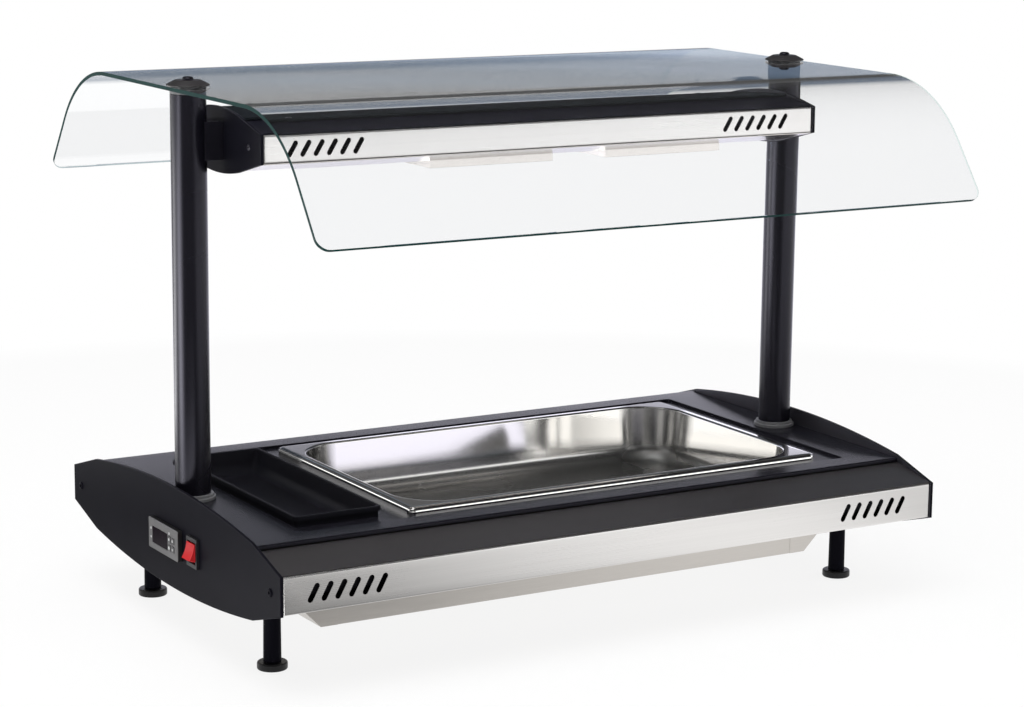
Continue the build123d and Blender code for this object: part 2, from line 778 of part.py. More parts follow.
for name, column, row in key_names:
    y = controller_y - key_first_shift - column * key_column_pitch
    z = controller_z - key_row_drop + (0.5 - row) * key_row_pitch
    low = (y - key_width / 2, z - key_height / 2)
    high = (y + key_width / 2, z + key_height / 2)
    controller -= block((bezel_face, low[0] - slide_gap, low[1] - slide_gap),
                        (key_back + key_travel + seat_gap, high[0] + slide_gap, high[1] + slide_gap))
    keep(name, block((key_front, *low), (key_back, *high)))
keep("controller_case", controller)

# Mains switch: a framed body with a pocket, and a dished rocker on two side pins
switch_face = -outer_half - switch_bezel_thickness
pivot_x = switch_face + rocker_pivot_depth
rocker_radius = math.hypot(rocker_half_height, rocker_end_stand)
pocket_half_width = rocker_width / 2 + seat_gap
pocket_half_height = rocker_radius + seat_gap
switch = Pos(-outer_half - switch_bezel_thickness / 2, switch_y, switch_z) \
    * Box(switch_bezel_thickness, switch_bezel_width, switch_bezel_height)
switch += Pos(switch_body_depth / 2 - outer_half, switch_y, switch_z) \
    * Box(switch_body_depth, switch_body_width, switch_body_height)
switch -= Pos(switch_face + switch_pocket_depth / 2, switch_y, switch_z) \
    * Box(switch_pocket_depth, 2 * pocket_half_width, 2 * pocket_half_height)
pin_reach = rocker_width / 2 + rocker_pin_length
switch -= along_y(rocker_pin_radius + spin_gap, pivot_x, switch_y - pin_reach - seat_gap,
                  switch_y + pin_reach + seat_gap, switch_z)
keep("switch_body", switch)
rocker_outline = [(rocker_back, -rocker_half_height), (-rocker_end_stand, -rocker_half_height),
                  (-rocker_centre_stand, 0), (-rocker_end_stand, rocker_half_height),
                  (rocker_back, rocker_half_height)]
rocker = sheet_along_y(rocker_outline, -rocker_width / 2, rocker_width / 2)
rocker += along_y(rocker_pin_radius, 0, -pin_reach, pin_reach, 0)
keep("switch_rocker", Pos(pivot_x, switch_y, switch_z) * Rot(0, rocker_tilt, 0) * rocker)

# Legs, bored for the feet's spindles, and the feet
legs = []
for row_name, side_y in (("front", -1), ("rear", 1)):
    for end_name, side_x in (("left", -1), ("right", 1)):
        x = side_x * leg_x
        y = side_y * leg_y
        leg_low = foot_height + seat_gap
        leg = turned([(0, leg_low), (leg_bottom_radius, leg_low), (leg_top_radius, plate_under),
                      (leg_stud_radius, plate_under), (leg_stud_radius, plate_under + leg_stud_length),
                      (0, plate_under + leg_stud_length)], x, y)
        spindle_top = foot_height + spindle_length
        leg -= upright(spindle_radius + spin_gap, x, y, leg_low, spindle_top + seat_gap)
        legs.append(leg)
        foot = upright(foot_radius, x, y, 0, foot_height)
        foot = fillet(foot.edges(), foot_round)
        foot += upright(spindle_radius, x, y, foot_height, spindle_top)
        keep(f"{row_name}_{end_name}_foot", foot)
keep("legs", *legs)

# Posts with a plug in each end, their collars, and the bolts and stiffeners under the deck
collars = []
bolts = []
stiffeners = []
gaskets = []
caps = []
cap_screws = []
for name, side in (("left", -1), ("right", 1)):
    x = side * post_x
    post = upright(post_radius, x, 0, deck_top, post_top)
    post -= upright(post_radius - post_wall, x, 0, deck_top + post_plug, post_top - post_plug)
    post -= upright(bolt_radius + thread_gap, x, 0, deck_top, deck_top + post_plug)
    post -= upright(cap_screw_radius + thread_gap, x, 0, post_top - post_plug, post_top)
    keep(f"{name}_post", post)
    bore = post_radius + thread_gap
    collar_shoulder = deck_top + collar_foot_height
    collar_top = deck_top + collar_height
    ring_radius = collar_radius - collar_step
    collars.append(turned([(bore, deck_top), (collar_radius, deck_top),
                           (collar_radius, collar_shoulder - collar_round),
                           (collar_radius - collar_round, collar_shoulder), (ring_radius, collar_shoulder),
                           (ring_radius, collar_top - collar_round), (ring_radius - collar_round, collar_top),
                           (bore, collar_top)], x, 0))
    stiffener = block((x - stiffener_half_width, -stiffener_half_length, deck_under - stiffener_thickness),
                      (x + stiffener_half_width, stiffener_half_length, deck_under))
    stiffener_under = deck_under - stiffener_thickness
    stiffeners.append(stiffener - upright(bolt_radius + seat_gap, x, 0, stiffener_under, deck_under))
    bolt_head = Pos(x, 0, stiffener_under - bolt_head_height) * RegularPolygon(bolt_head_radius, 6)
    bolt = extrude(bolt_head, amount=bolt_head_height)
    bolts.append(bolt + upright(bolt_radius, x, 0, stiffener_under, deck_top + post_plug))
    gasket_hole = cap_screw_radius + seat_gap
    for low, high in ((post_top, glass_under), (glass_top, cap_bottom)):
        gasket = upright(post_radius, x, 0, low, high)
        gaskets.append(gasket - upright(gasket_hole, x, 0, low, high))
    cap = turned([(gasket_hole, cap_bottom), (cap_radius, cap_bottom), (cap_radius, cap_bottom + cap_edge),
                  (cap_top_radius, cap_top), (gasket_hole, cap_top)], x, 0)
    caps.append(cap)
    screw = Pos(x, 0, cap_top) * dome_screw(cap_screw_head_radius, cap_screw_head_height, cap_screw_radius,
                                            cap_top - post_top + post_plug)
    socket_low = cap_top + cap_screw_head_height - cap_screw_socket_depth
    socket_outline = Pos(x, 0, socket_low) * RegularPolygon(cap_screw_socket, 6)
    socket = extrude(socket_outline, amount=cap_screw_socket_depth)
    cap_screws.append(screw - socket)
keep("post_collars", *collars)
keep("post_bolts", *bolts)
keep("deck_stiffeners", *stiffeners)
keep("glass_gaskets", *gaskets)
keep("glass_caps", *caps)
keep("cap_screws", *cap_screws)


def canopy_line(offset):
    """Half profile of the glass from its flat to the flap's foot: arc, straight. Offset goes inwards."""
    radius = glass_bend_radius - offset
    centre_z = glass_top - glass_bend_radius
    turn = math.radians(glass_bend_angle)
    bend_start = (glass_flat_half_depth, centre_z + radius)
    bend_middle = (glass_flat_half_depth + radius * math.sin(turn / 2), centre_z + radius * math.cos(turn / 2))
    bend_end = (glass_flat_half_depth + radius * math.sin(turn), centre_z + radius * math.cos(turn))
    foot = (bend_end[0] + glass_flap_length * math.cos(turn), bend_end[1] - glass_flap_length * math.sin(turn))
    return bend_start, bend_middle, bend_end, foot


def canopy_profile():
    """Closed outline of the bent glass in the YZ plane at its left edge."""

    def point(side, place):
        return (-glass_half_length, side * place[0], place[1])

    edges = []
    feet = {}
    for offset in (0, glass_thickness):
        start, middle, end, foot = canopy_line(offset)
        edges.append(Line(point(-1, start), point(1, start)))
        for side in (-1, 1):
            edges.append(ThreePointArc(point(side, start), point(side, middle), point(side, end)))
            edges.append(Line(point(side, end), point(side, foot)))
            feet.setdefault(side, []).append(point(side, foot))
    for side in (-1, 1):
        edges.append(Line(*feet[side]))
    return make_face(edges)


# Glass canopy: one bent pane with rounded flap corners, drilled for the two cap screws
glass = extrude(canopy_profile(), amount=2 * glass_half_length, dir=(1, 0, 0))
lowest = sorted(glass.edges().filter_by(lambda edge: abs(edge.length - glass_thickness) < 0.01),
                key=lambda edge: edge.center().Z)
glass = fillet(lowest[:4], glass_corner)
for side in (-1, 1):
    glass -= upright(glass_hole_radius, side * post_x, 0, glass_under, glass_top)
keep("glass_canopy", glass)

# Lamp housing: end caps, strips, top plate and slopes, built like a small copy of the base
lamp_edge = lamp_strip_height / 2 + lamp_edge_margin
lamp_kink = lamp_edge + lamp_kink_rise
lamp_shape = (lamp_mid, lamp_face + lamp_cap_margin, lamp_edge, lamp_kink_half_depth, lamp_kink,
              lamp_kink + lamp_crown_rise)
lamp_caps = {-1: lens_plate(-lamp_half, lamp_cap_thickness, *lamp_shape),
             1: lens_plate(lamp_inner_half, lamp_cap_thickness, *lamp_shape)}
lamp_bars = []
lamp_screws = []
for y in (-lamp_bar_y, lamp_bar_y):
    half = lamp_bar_size / 2
    bar = block((-lamp_inner_half, y - half, lamp_mid - half), (lamp_inner_half, y + half, lamp_mid + half))
    for side in (-1, 1):
        hole = along_x(screw_radius + thread_gap, side * lamp_half - small_screw_length,
                       side * lamp_half + small_screw_length, y, lamp_mid)
        bar -= hole
        lamp_caps[side] -= hole
        lamp_screws.append(side_screw(side, side * lamp_half, y, lamp_mid, small_screw_head_radius,
                                      small_screw_head_height, screw_radius, small_screw_length))
    lamp_bars.append(bar)
keep("lamp_left_cap", lamp_caps[-1])
keep("lamp_right_cap", lamp_caps[1])
keep("lamp_tie_bars", *lamp_bars)
lamp_vents = (lamp_vent_inset, lamp_vent_pitch, lamp_vent_tilt, lamp_vent_length, lamp_vent_width)
lamp_strip = trim_strip(lamp_inner_half, lamp_face, lamp_strip_low, lamp_strip_height, lamp_strip_depth,
                        lamp_vents)
keep("lamp_front_strip", lamp_strip)
keep("lamp_rear_strip", half_turn(lamp_strip))
lamp_plate = lipped_plate(lamp_inner_half, lamp_top_half_depth, lamp_top, lamp_top_sheet, lamp_top_lip,
                          lamp_top_bend)
for side_x in (-1, 1):
    for side_y in (-1, 1):
        x = side_x * (lamp_inner_half - top_screw_inset_x)
        y = side_y * (lamp_top_half_depth - top_screw_inset_y)
        lamp_plate -= upright(screw_radius + thread_gap, x, y, lamp_top - lamp_top_sheet, lamp_top)
        lamp_screws.append(Pos(x, y, lamp_top) * dome_screw(small_screw_head_radius, small_screw_head_height,
                                                            screw_radius, top_screw_length))
keep("lamp_top_plate", lamp_plate)
keep("lamp_screws", *lamp_screws)
lamp_slope_high = lamp_top - lamp_top_lip - lamp_slope_shadow_gap
lamp_slope = slope_panel(lamp_inner_half, strip_inset - lamp_face, lamp_strip_top,
                         slope_tuck - lamp_top_half_depth, lamp_slope_high, lamp_top - lamp_top_sheet,
                         lamp_slope_sheet)
keep("lamp_front_slope", lamp_slope)
keep("lamp_rear_slope", half_turn(lamp_slope))

# Bright underside sheet, bent like a shallow trough and cut out for the reflectors
under_edge_y = lamp_face - strip_inset
under_edge_z = lamp_strip_low - sheet_gap
under_top = [(-under_edge_y, under_edge_z), (-lamp_kink_half_depth, under_flat),
             (lamp_kink_half_depth, under_flat), (under_edge_y, under_edge_z)]
under_low = [(y, z - lamp_under_sheet) for y, z in reversed(under_top)]
underside = sheet_along_x(under_top + under_low, -lamp_inner_half, lamp_inner_half)

# Reflectors, their tubes and the ceramic holders at the tubes' ends
reflectors = {}
tubes = []
holders = []
reflector_low = under_flat - lamp_under_sheet - reflector_drop
reflector_bend = reflector_low + reflector_shoulder
reflector_roof = reflector_bend + reflector_roof_rise
reflector_half = reflector_length / 2
trough_outer = [(-reflector_half_width, reflector_low), (-reflector_half_width, reflector_bend),
                (-reflector_roof_half_width, reflector_roof), (reflector_roof_half_width, reflector_roof),
                (reflector_half_width, reflector_bend), (reflector_half_width, reflector_low)]
lean = math.atan2(reflector_half_width - reflector_roof_half_width, reflector_roof_rise)
bend_shift = reflector_sheet * math.tan(lean / 2)
roof_shift = reflector_sheet * math.tan((math.pi / 2 - lean) / 2)
inner_wall = reflector_half_width - reflector_sheet
inner_roof = reflector_roof_half_width - roof_shift
trough_inner = [(-inner_wall, reflector_low), (-inner_wall, reflector_bend - bend_shift),
                (-inner_roof, reflector_roof - reflector_sheet),
                (inner_roof, reflector_roof - reflector_sheet),
                (inner_wall, reflector_bend - bend_shift), (inner_wall, reflector_low)]
for name, side in (("left", -1), ("right", 1)):
    middle = pan_x + lamp_shift + side * lamp_spacing / 2
    reflector = sheet_along_x(trough_outer, middle - reflector_half, middle + reflector_half)
    reflector -= sheet_along_x(trough_inner, middle - reflector_half + reflector_sheet,
                               middle + reflector_half - reflector_sheet)
    for end in (-1, 1):
        inner_x = middle + end * (reflector_half - reflector_sheet)
        flange_x = middle + end * (reflector_half + reflector_flange / 2)
        reflector += Pos(flange_x, 0, under_flat + reflector_sheet / 2) \
            * Box(reflector_flange, 2 * reflector_roof_half_width, reflector_sheet)
        tube_end = middle + end * (tube_length / 2 + slide_gap)
        holders.append(block((min(tube_end, inner_x), -holder_half_width, tube_z - holder_half_height),
                             (max(tube_end, inner_x), holder_half_width, tube_z + holder_half_height)))
    keep(f"{name}_reflector", reflector)
    mouth_length = reflector_length + 2 * reflector_play
    mouth_width = 2 * (reflector_half_width + reflector_play)
    underside -= Pos(middle, 0, under_flat - lamp_under_sheet / 2) * Box(mouth_length, mouth_width, lamp_under_sheet)
    tube_half = tube_length / 2
    glass_half = tube_half - tube_cap_length
    tube = along_x(tube_radius, middle - glass_half, middle + glass_half, 0, tube_z)
    tubes.append(tube + along_x(tube_cap_radius, middle - tube_half, middle + tube_half, 0, tube_z))
keep("lamp_underside", underside)
keep("lamp_tubes", *tubes)
keep("lamp_holders", *holders)

# Brackets: a saddle round the inner side of each post, against the housing's end cap
brackets = []
for side in (-1, 1):
    inner_x = side * lamp_half
    outer_x = side * (post_x - post_radius + bracket_wrap)
    saddle = block((min(inner_x, outer_x), -bracket_half_width, lamp_mid - bracket_half_height),
                   (max(inner_x, outer_x), bracket_half_width, lamp_mid + bracket_half_height))
    brackets.append(saddle - upright(post_radius + thread_gap, side * post_x, 0,
                                     lamp_mid - bracket_half_height, lamp_mid + bracket_half_height))
keep("lamp_brackets", *brackets)

# One file for each node
os.makedirs("parts", exist_ok=True)
for name, solids in parts.items():
    shape = solids[0] if len(solids) == 1 else Compound(solids)
    export_step(shape, f"parts/{name}.step")
print(len(parts), "nodes written")
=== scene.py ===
# %% [markdown]
# A table-top buffet warmer: a black heated base, two posts, a lamp housing and a bent glass canopy. The
# engineering model is loaded first and stays where it is. Everything below only dresses it, in metres, in
# the same frame: +X to the right, the front towards -Y, +Z up.

# %% Load the frame
import json
import math

import bmesh
import bpy
import numpy as np
from mathutils import Matrix, Vector


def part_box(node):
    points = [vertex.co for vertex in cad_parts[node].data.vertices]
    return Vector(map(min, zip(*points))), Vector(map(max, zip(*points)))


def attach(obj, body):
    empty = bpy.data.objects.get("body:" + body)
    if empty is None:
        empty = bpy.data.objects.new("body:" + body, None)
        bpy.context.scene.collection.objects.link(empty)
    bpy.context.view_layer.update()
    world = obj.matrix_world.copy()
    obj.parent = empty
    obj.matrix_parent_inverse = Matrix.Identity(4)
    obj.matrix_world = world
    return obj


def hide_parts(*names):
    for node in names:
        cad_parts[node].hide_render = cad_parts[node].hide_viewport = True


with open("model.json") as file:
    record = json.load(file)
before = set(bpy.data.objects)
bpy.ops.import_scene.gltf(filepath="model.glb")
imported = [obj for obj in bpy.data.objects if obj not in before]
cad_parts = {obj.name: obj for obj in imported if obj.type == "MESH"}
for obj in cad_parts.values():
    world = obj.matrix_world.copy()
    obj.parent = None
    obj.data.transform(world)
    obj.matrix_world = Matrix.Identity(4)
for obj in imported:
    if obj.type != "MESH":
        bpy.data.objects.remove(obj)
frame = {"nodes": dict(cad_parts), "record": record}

scene = bpy.context.scene
scene.view_settings.view_transform = "Standard"
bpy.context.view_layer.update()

# %% [markdown]
# The camera stands to the front left and a little above the glass. A long lens keeps the edges nearly
# parallel. Placing it by azimuth, elevation and distance from a target is easier to read and to change than
# a matrix.

# %% Camera
image_width = 1024
focal_pixels = 2734.4
centre_offset_pixels = 60
sensor_width = 36.0
azimuth, elevation, roll = -0.5545, 0.1954, 0.0142
camera_distance = 3.14731
camera_target = np.array([0.09218, 0.0, 0.26298])

back = np.array([math.sin(azimuth) * math.cos(elevation), -math.cos(azimuth) * math.cos(elevation),
                 math.sin(elevation)])
right = np.cross(-back, (0, 0, 1))
right /= np.linalg.norm(right)
up = np.cross(right, -back)
pose = np.eye(4)
pose[:3, 0] = math.cos(roll) * right + math.sin(roll) * up
pose[:3, 1] = math.cos(roll) * up - math.sin(roll) * right
pose[:3, 2] = back
pose[:3, 3] = camera_target + camera_distance * back
camera = bpy.data.objects.new("camera", bpy.data.cameras.new("camera"))
camera.data.sensor_width = sensor_width
camera.data.sensor_fit = "HORIZONTAL"
camera.data.lens = focal_pixels / image_width * sensor_width
camera.data.shift_x = -centre_offset_pixels / image_width
camera.matrix_world = Matrix(pose.tolist())
scene.collection.objects.link(camera)
scene.camera = camera
print("camera at", pose[:3, 3].round(3), "lens", round(camera.data.lens, 1), "mm")

# %% [markdown]
# Shader nodes are easier to read when one short call makes a node, sets it and links it. A value goes onto
# a socket, and another node's socket is linked to it. The calls below do that for any node, and then for
# the few kinds that most materials need: sums and products, ramps, and mixes of colours or of shaders.

# %% Helpers for shader nodes
# A Mix node has sockets for every kind of data; these are the ones for colours.
mix_first, mix_second, mix_output = 6, 7, 2


def add_node(tree, kind, inputs=None, **settings):
    """One shader node. Settings are its properties; inputs are values, or sockets of other nodes to link."""
    node = tree.nodes.new(kind)
    for name, value in settings.items():
        setattr(node, name, value)
    for socket, value in (inputs or {}).items():
        if isinstance(value, bpy.types.NodeSocket):
            tree.links.new(value, node.inputs[socket])
        else:
            node.inputs[socket].default_value = value
    return node


def math_node(tree, operation, first, *others, clamp=False):
    """One operation carried through its values, such as the product or the largest of them."""
    for other in others or (0.0,):
        node = add_node(tree, "ShaderNodeMath", {0: first, 1: other}, operation=operation, use_clamp=clamp)
        first = node.outputs[0]
    return first


def ramp_node(tree, factor, stops):
    """The colour output of a ramp with (place, grey or colour) stops."""
    node = add_node(tree, "ShaderNodeValToRGB", {"Fac": factor})
    elements = node.color_ramp.elements
    while len(elements) < len(stops):
        elements.new(0.5)
    for element, (place, shade) in zip(elements, stops):
        element.position = place
        element.color = (shade, shade, shade, 1) if isinstance(shade, float) else (*shade, 1)
    return node.outputs["Color"]


def blend(tree, mask, first, second):
    """Colour that goes from the first to the second as the mask goes from 0 to 1."""
    colours = {slot: colour if isinstance(colour, bpy.types.NodeSocket) else (*colour, 1)
               for slot, colour in ((mix_first, first), (mix_second, second))}
    return add_node(tree, "ShaderNodeMix", {0: mask, **colours}, data_type="RGBA").outputs[mix_output]


def mix_shaders(tree, share, first, second):
    """Shader that goes from the first to the second as the share goes from 0 to 1."""
    sockets = {0: share, 1: first.outputs[0], 2: second.outputs[0]}
    return add_node(tree, "ShaderNodeMixShader", sockets).outputs[0]


def bounced_rays(tree, path):
    """Mask of the rays that a surface has mirrored; those that only pass through glass are left out."""
    return math_node(tree, "GREATER_THAN", path["Glossy Depth"], 0.5)


# %% [markdown]
# The object stands on a white sweep, so the world is white to the camera. Bright metal and glass show what
# is round them, so mirrored rays see that white too, near the horizon; higher up is a dim room, which keeps
# black surfaces black. Rays that only pass through the glass see slate at the horizon and white above it.
# All other rays see an even, soft light. Ramps over the height are quicker to change than flats and lamps.

# %% World
ambient = 0.5
white = (1.0, 1.0, 1.0)
slate = (0.17, 0.22, 0.3)

world = bpy.data.worlds.new("studio")
world.use_nodes = True
tree = world.node_tree
tree.nodes.clear()
path = add_node(tree, "ShaderNodeLightPath").outputs
seen, through = path["Is Camera Ray"], path["Is Transmission Ray"]
direction = add_node(tree, "ShaderNodeTexCoord").outputs["Generated"]
height = add_node(tree, "ShaderNodeSeparateXYZ", {0: direction}).outputs["Z"]
mirrored_room = ramp_node(tree, height, [(0.0, 1.0), (0.04, 1.0), (0.09, 0.1), (0.5, 0.06), (0.62, 0.045),
                                         (1.0, 0.05)])
room_through_glass = ramp_node(tree, height, [(0.0, slate), (0.12, slate), (0.2, 1.0), (1.0, 1.0)])
looked_through = math_node(tree, "SUBTRACT", through, bounced_rays(tree, path), clamp=True)
room = blend(tree, looked_through, mirrored_room, room_through_glass)
backdrop = blend(tree, seen, room, white)
shown = math_node(tree, "MAXIMUM", seen, through, path["Is Glossy Ray"])
soft = add_node(tree, "ShaderNodeBackground", {"Color": (*white, 1), "Strength": ambient})
plain = add_node(tree, "ShaderNodeBackground", {"Color": backdrop, "Strength": 1.0})
add_node(tree, "ShaderNodeOutputWorld", {"Surface": mix_shaders(tree, shown, soft, plain)})
scene.world = world
print("world: ambient", ambient)

# %% [markdown]
# The floor is one large white sheet. Near the object it mixes its plain white with a little of a lit
# surface, and so it keeps the object's soft shadow; further out it is white alone. The sheet belongs to the
# stage, not to the object.

# %% Floor
floor_half = 60.0
shadow_share, shadow_reach = 0.15, (0.7, 1.6)


def stage_sheet(name, points, faces):
    """A sheet of the studio, which isn't part of the object, and the node tree of its own material."""
    mesh = bpy.data.meshes.new(name)
    mesh.from_pydata(np.asarray(points, float).tolist(), [], np.asarray(faces).tolist())
    sheet = bpy.data.objects.new(name, mesh)
    scene.collection.objects.link(sheet)
    material = bpy.data.materials.new(name)
    material.use_nodes = True
    material.node_tree.nodes.clear()
    mesh.materials.append(material)
    return sheet, material.node_tree


def fade(tree, value, low, high):
    """Mask that rises from 0 to 1 as the value goes from low to high; it falls where high is below low."""
    ends = {"From Min": low, "From Max": high}
    if high < low:
        ends = {"From Min": high, "From Max": low, "To Min": 1.0, "To Max": 0.0}
    return add_node(tree, "ShaderNodeMapRange", {"Value": value, **ends}).outputs[0]


corners = floor_half * np.array([[-1, -1, 0], [1, -1, 0], [1, 1, 0], [-1, 1, 0]])
floor, tree = stage_sheet("floor", corners, [[0, 1, 2, 3]])
path = add_node(tree, "ShaderNodeLightPath").outputs
seen, through = path["Is Camera Ray"], path["Is Transmission Ray"]
bounced = bounced_rays(tree, path)
place = add_node(tree, "ShaderNodeTexCoord").outputs["Object"]
across, along, _ = add_node(tree, "ShaderNodeSeparateXYZ", {0: place}).outputs
reach = add_node(tree, "ShaderNodeVectorMath", {0: place}, operation="LENGTH").outputs["Value"]
shown = math_node(tree, "MAXIMUM", seen, through, path["Is Glossy Ray"])
open_floor = math_node(tree, "MAXIMUM", fade(tree, reach, *shadow_reach), 1 - shadow_share)
print(floor.name, 2 * floor_half, "m across")

# %% [markdown]
# Black gloss shows what it mirrors more than its own colour, so the floor has a second look for mirrored
# rays. In front and at the left its brightness changes from left to right. Close on the left it is bright
# at the front and dark at the rear, which gives the left end panel its sheen. Two sectors, one as seen from
# each post, shine and draw a bright line down the posts. Through the glass, the far floor is slate.

# %% Mirrored floor
front_border, left_border, near_span = (-0.2, -0.3), (-0.45, -0.6), (-1.0, 3.0)
near_shade = ramp_node(tree, fade(tree, across, *near_span),
                       [(0.15, 0.2), (0.21, 0.4), (0.27, 0.85), (0.32, 1.1), (0.37, 1.1), (0.41, 0.7),
                        (0.5, 0.7), (0.65, 1.35)])
beside = math_node(tree, "MAXIMUM", fade(tree, along, *front_border), fade(tree, across, *left_border))
near_share = math_node(tree, "MULTIPLY", beside, bounced)
colour = blend(tree, near_share, white, near_shade)

panel_border, panel_reach, panel_span = (-0.45, -0.55), (1.2, 1.0), (-0.4, 0.7)
panel_shade = ramp_node(tree, fade(tree, along, *panel_span),
                        [(0.0, 4.0), (0.4, 2.6), (0.75, 0.15), (1.0, 0.1)])
panel_share = math_node(tree, "MULTIPLY", fade(tree, across, *panel_border), fade(tree, reach, *panel_reach),
                        bounced)
colour = blend(tree, panel_share, colour, panel_shade)

far_reach = (10.0, 15.0)
far_share = math_node(tree, "MULTIPLY", fade(tree, reach, *far_reach), through)
colour = blend(tree, far_share, colour, slate)

sector_reach = (1.1, 1.3)
post_x = sum(corner[0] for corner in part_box("right_post")) / 2
# Where each post stands, the sides of its sector and their softness in degrees, and its strength.
sectors = [(-post_x, -110, -58, 26, 58.0), (post_x, -68, -36, 8, 30.0)]


def sector(from_x, low, high, softness):
    """Mask of the floor that is seen between two directions, in degrees from +Y towards +X."""
    turn = math_node(tree, "ARCTAN2", math_node(tree, "SUBTRACT", across, from_x), along)
    low, high, softness = (math.radians(angle) for angle in (low, high, softness))
    return math_node(tree, "MULTIPLY", fade(tree, turn, low, low + softness),
                     fade(tree, turn, high, high - softness), fade(tree, reach, *sector_reach))


shines = [math_node(tree, "MULTIPLY", sector(*sides), strength) for *sides, strength in sectors]
shine = math_node(tree, "MULTIPLY", math_node(tree, "MAXIMUM", *shines), bounced)
lit = add_node(tree, "ShaderNodeBsdfDiffuse", {"Color": (*white, 1)})
glow = add_node(tree, "ShaderNodeEmission", {"Color": colour, "Strength": math_node(tree, "ADD", shine, 1.0)})
share = math_node(tree, "MULTIPLY", shown, math_node(tree, "MAXIMUM", near_share, open_floor))
add_node(tree, "ShaderNodeOutputMaterial", {"Surface": mix_shaders(tree, share, lit, glow)})
print("bright sectors of the floor:", len(sectors))

# %% [markdown]
# In a studio, cards round the object are there only to be mirrored. A low curved card behind it whitens the
# pan and the rear of the deck; above its white foot it is dark, with a bluish band, streaky at its borders,
# which the top of the glass picks up. White cards at the left and far off on the front left brighten the pan,
# and one on the front right brightens the pan and the slotted strips. The cards take no part in the lighting:
# they are hidden from the camera and let every ray pass that isn't a mirrored one.

# %% Cards to be mirrored
card_columns = 49
soft_end = math.radians(6)
streak_stretch = (1.2, 1.2, 40.0)


def noise_node(tree, vector, scale, detail=2.0, roughness=0.5):
    """The value of a noise texture on the given coordinates."""
    values = {"Vector": vector, "Scale": scale, "Detail": detail, "Roughness": roughness}
    return add_node(tree, "ShaderNodeTexNoise", values).outputs["Fac"]


def card(name, radius, angles, heights, stops, strength, streaks=0.0, through_glass=False):
    """Upright card on part of a circle about the object, between two angles from +Y towards +X and between
    two heights. Its glow depends on the height, with level streaks, and fades out towards both ends."""
    angle = np.radians(np.linspace(*angles, card_columns))
    foot = np.stack([radius * np.sin(angle), radius * np.cos(angle), np.full(card_columns, heights[0])], -1)
    points = np.concatenate([foot, foot + [0, 0, heights[1] - heights[0]]])
    near = np.arange(card_columns - 1)
    faces = np.stack([near, near + 1, near + 1 + card_columns, near + card_columns], -1)
    sheet, tree = stage_sheet(name, points, faces)
    place = add_node(tree, "ShaderNodeTexCoord").outputs["Object"]
    x, y, z = add_node(tree, "ShaderNodeSeparateXYZ", {0: place}).outputs
    level = math_node(tree, "DIVIDE", z, heights[1])
    if streaks:
        flat = add_node(tree, "ShaderNodeVectorMath", {0: place, 1: streak_stretch}, operation="MULTIPLY")
        wave = math_node(tree, "SUBTRACT", noise_node(tree, flat.outputs[0], 1.0, detail=4.0), 0.5)
        level = math_node(tree, "ADD", level, math_node(tree, "MULTIPLY", wave, streaks))
    shade = ramp_node(tree, level, stops)
    glow = add_node(tree, "ShaderNodeEmission", {"Color": shade, "Strength": strength})
    path = add_node(tree, "ShaderNodeLightPath").outputs
    hidden = 0.0 if through_glass else path["Is Transmission Ray"]
    mirror = math_node(tree, "SUBTRACT", bounced_rays(tree, path), hidden, clamp=True)
    turn = math_node(tree, "ARCTAN2", x, y)
    ends = math_node(tree, "MULTIPLY", fade(tree, turn, angle[0], angle[0] + soft_end),
                     fade(tree, turn, angle[-1], angle[-1] - soft_end))
    clear = add_node(tree, "ShaderNodeBsdfTransparent")
    share = math_node(tree, "MULTIPLY", mirror, ends)
    add_node(tree, "ShaderNodeOutputMaterial", {"Surface": mix_shaders(tree, share, clear, glow)})
    sheet.visible_camera = sheet.visible_diffuse = sheet.visible_shadow = False
    print(name, "at", radius, "m, heights", heights)


lavender_white = (1.0, 0.99, 1.14)
even, shaded_top = [(0.0, 1.0), (1.0, 1.0)], [(0.0, 1.0), (0.9, 1.0), (1.0, 0.2)]
banded = [(0.0, lavender_white), (0.44, lavender_white), (0.49, 0.1), (0.68, 0.07),
          (0.735, (0.38, 0.46, 0.58)), (0.755, (0.15, 0.205, 0.29)), (0.79, (0.085, 0.12, 0.17)),
          (0.83, 0.06), (0.95, 0.04)]
card("rear_card", 1.25, angles=(-30, 95), heights=(0.001, 0.9), stops=banded, strength=1.2, streaks=0.06)
card("left_card", 1.23, angles=(-92, -23), heights=(0.4, 1.0), stops=shaded_top, strength=1.4)
card("far_card", 6.0, angles=(-168, -128), heights=(0.3, 1.1), stops=even, strength=1.3)
card("front_card", 1.6, angles=(127, 181), heights=(0.001, 0.7), stops=even, strength=1.5, through_glass=True)

# %% [markdown]
# Two soft boxes light the object: a large one overhead and a weaker one from the right. Area lamps with wide
# faces give soft shadows.

# %% Soft boxes
def soft_box(name, place, target, width, height, watts):
    """Rectangular area lamp that faces its target."""
    data = bpy.data.lights.new(name, "AREA")
    data.shape = "RECTANGLE"
    data.size, data.size_y, data.energy = width, height, watts
    lamp = bpy.data.objects.new(name, data)
    lamp.location = place
    lamp.rotation_euler = (Vector(target) - Vector(place)).to_track_quat("-Z", "Y").to_euler()
    scene.collection.objects.link(lamp)
    print(name, "of", watts, "W")


object_middle = (0.0, 0.0, 0.25)
soft_box("top_box", (-0.7, -0.4, 2.7), object_middle, width=2.2, height=2.2, watts=48)
soft_box("right_box", (3.0, -0.9, 1.2), object_middle, width=1.2, height=1.6, watts=12)

# %% [markdown]
# Three effects turn up on more than one finish, so each is a node group with named inputs: the fine grain of
# a sprayed coat or a moulded plastic, the fine parallel lines of a brushed sheet, and the faint cloudy marks
# that hands and cloths leave. A group gives out only masks and heights; each finish decides what to do with
# them.

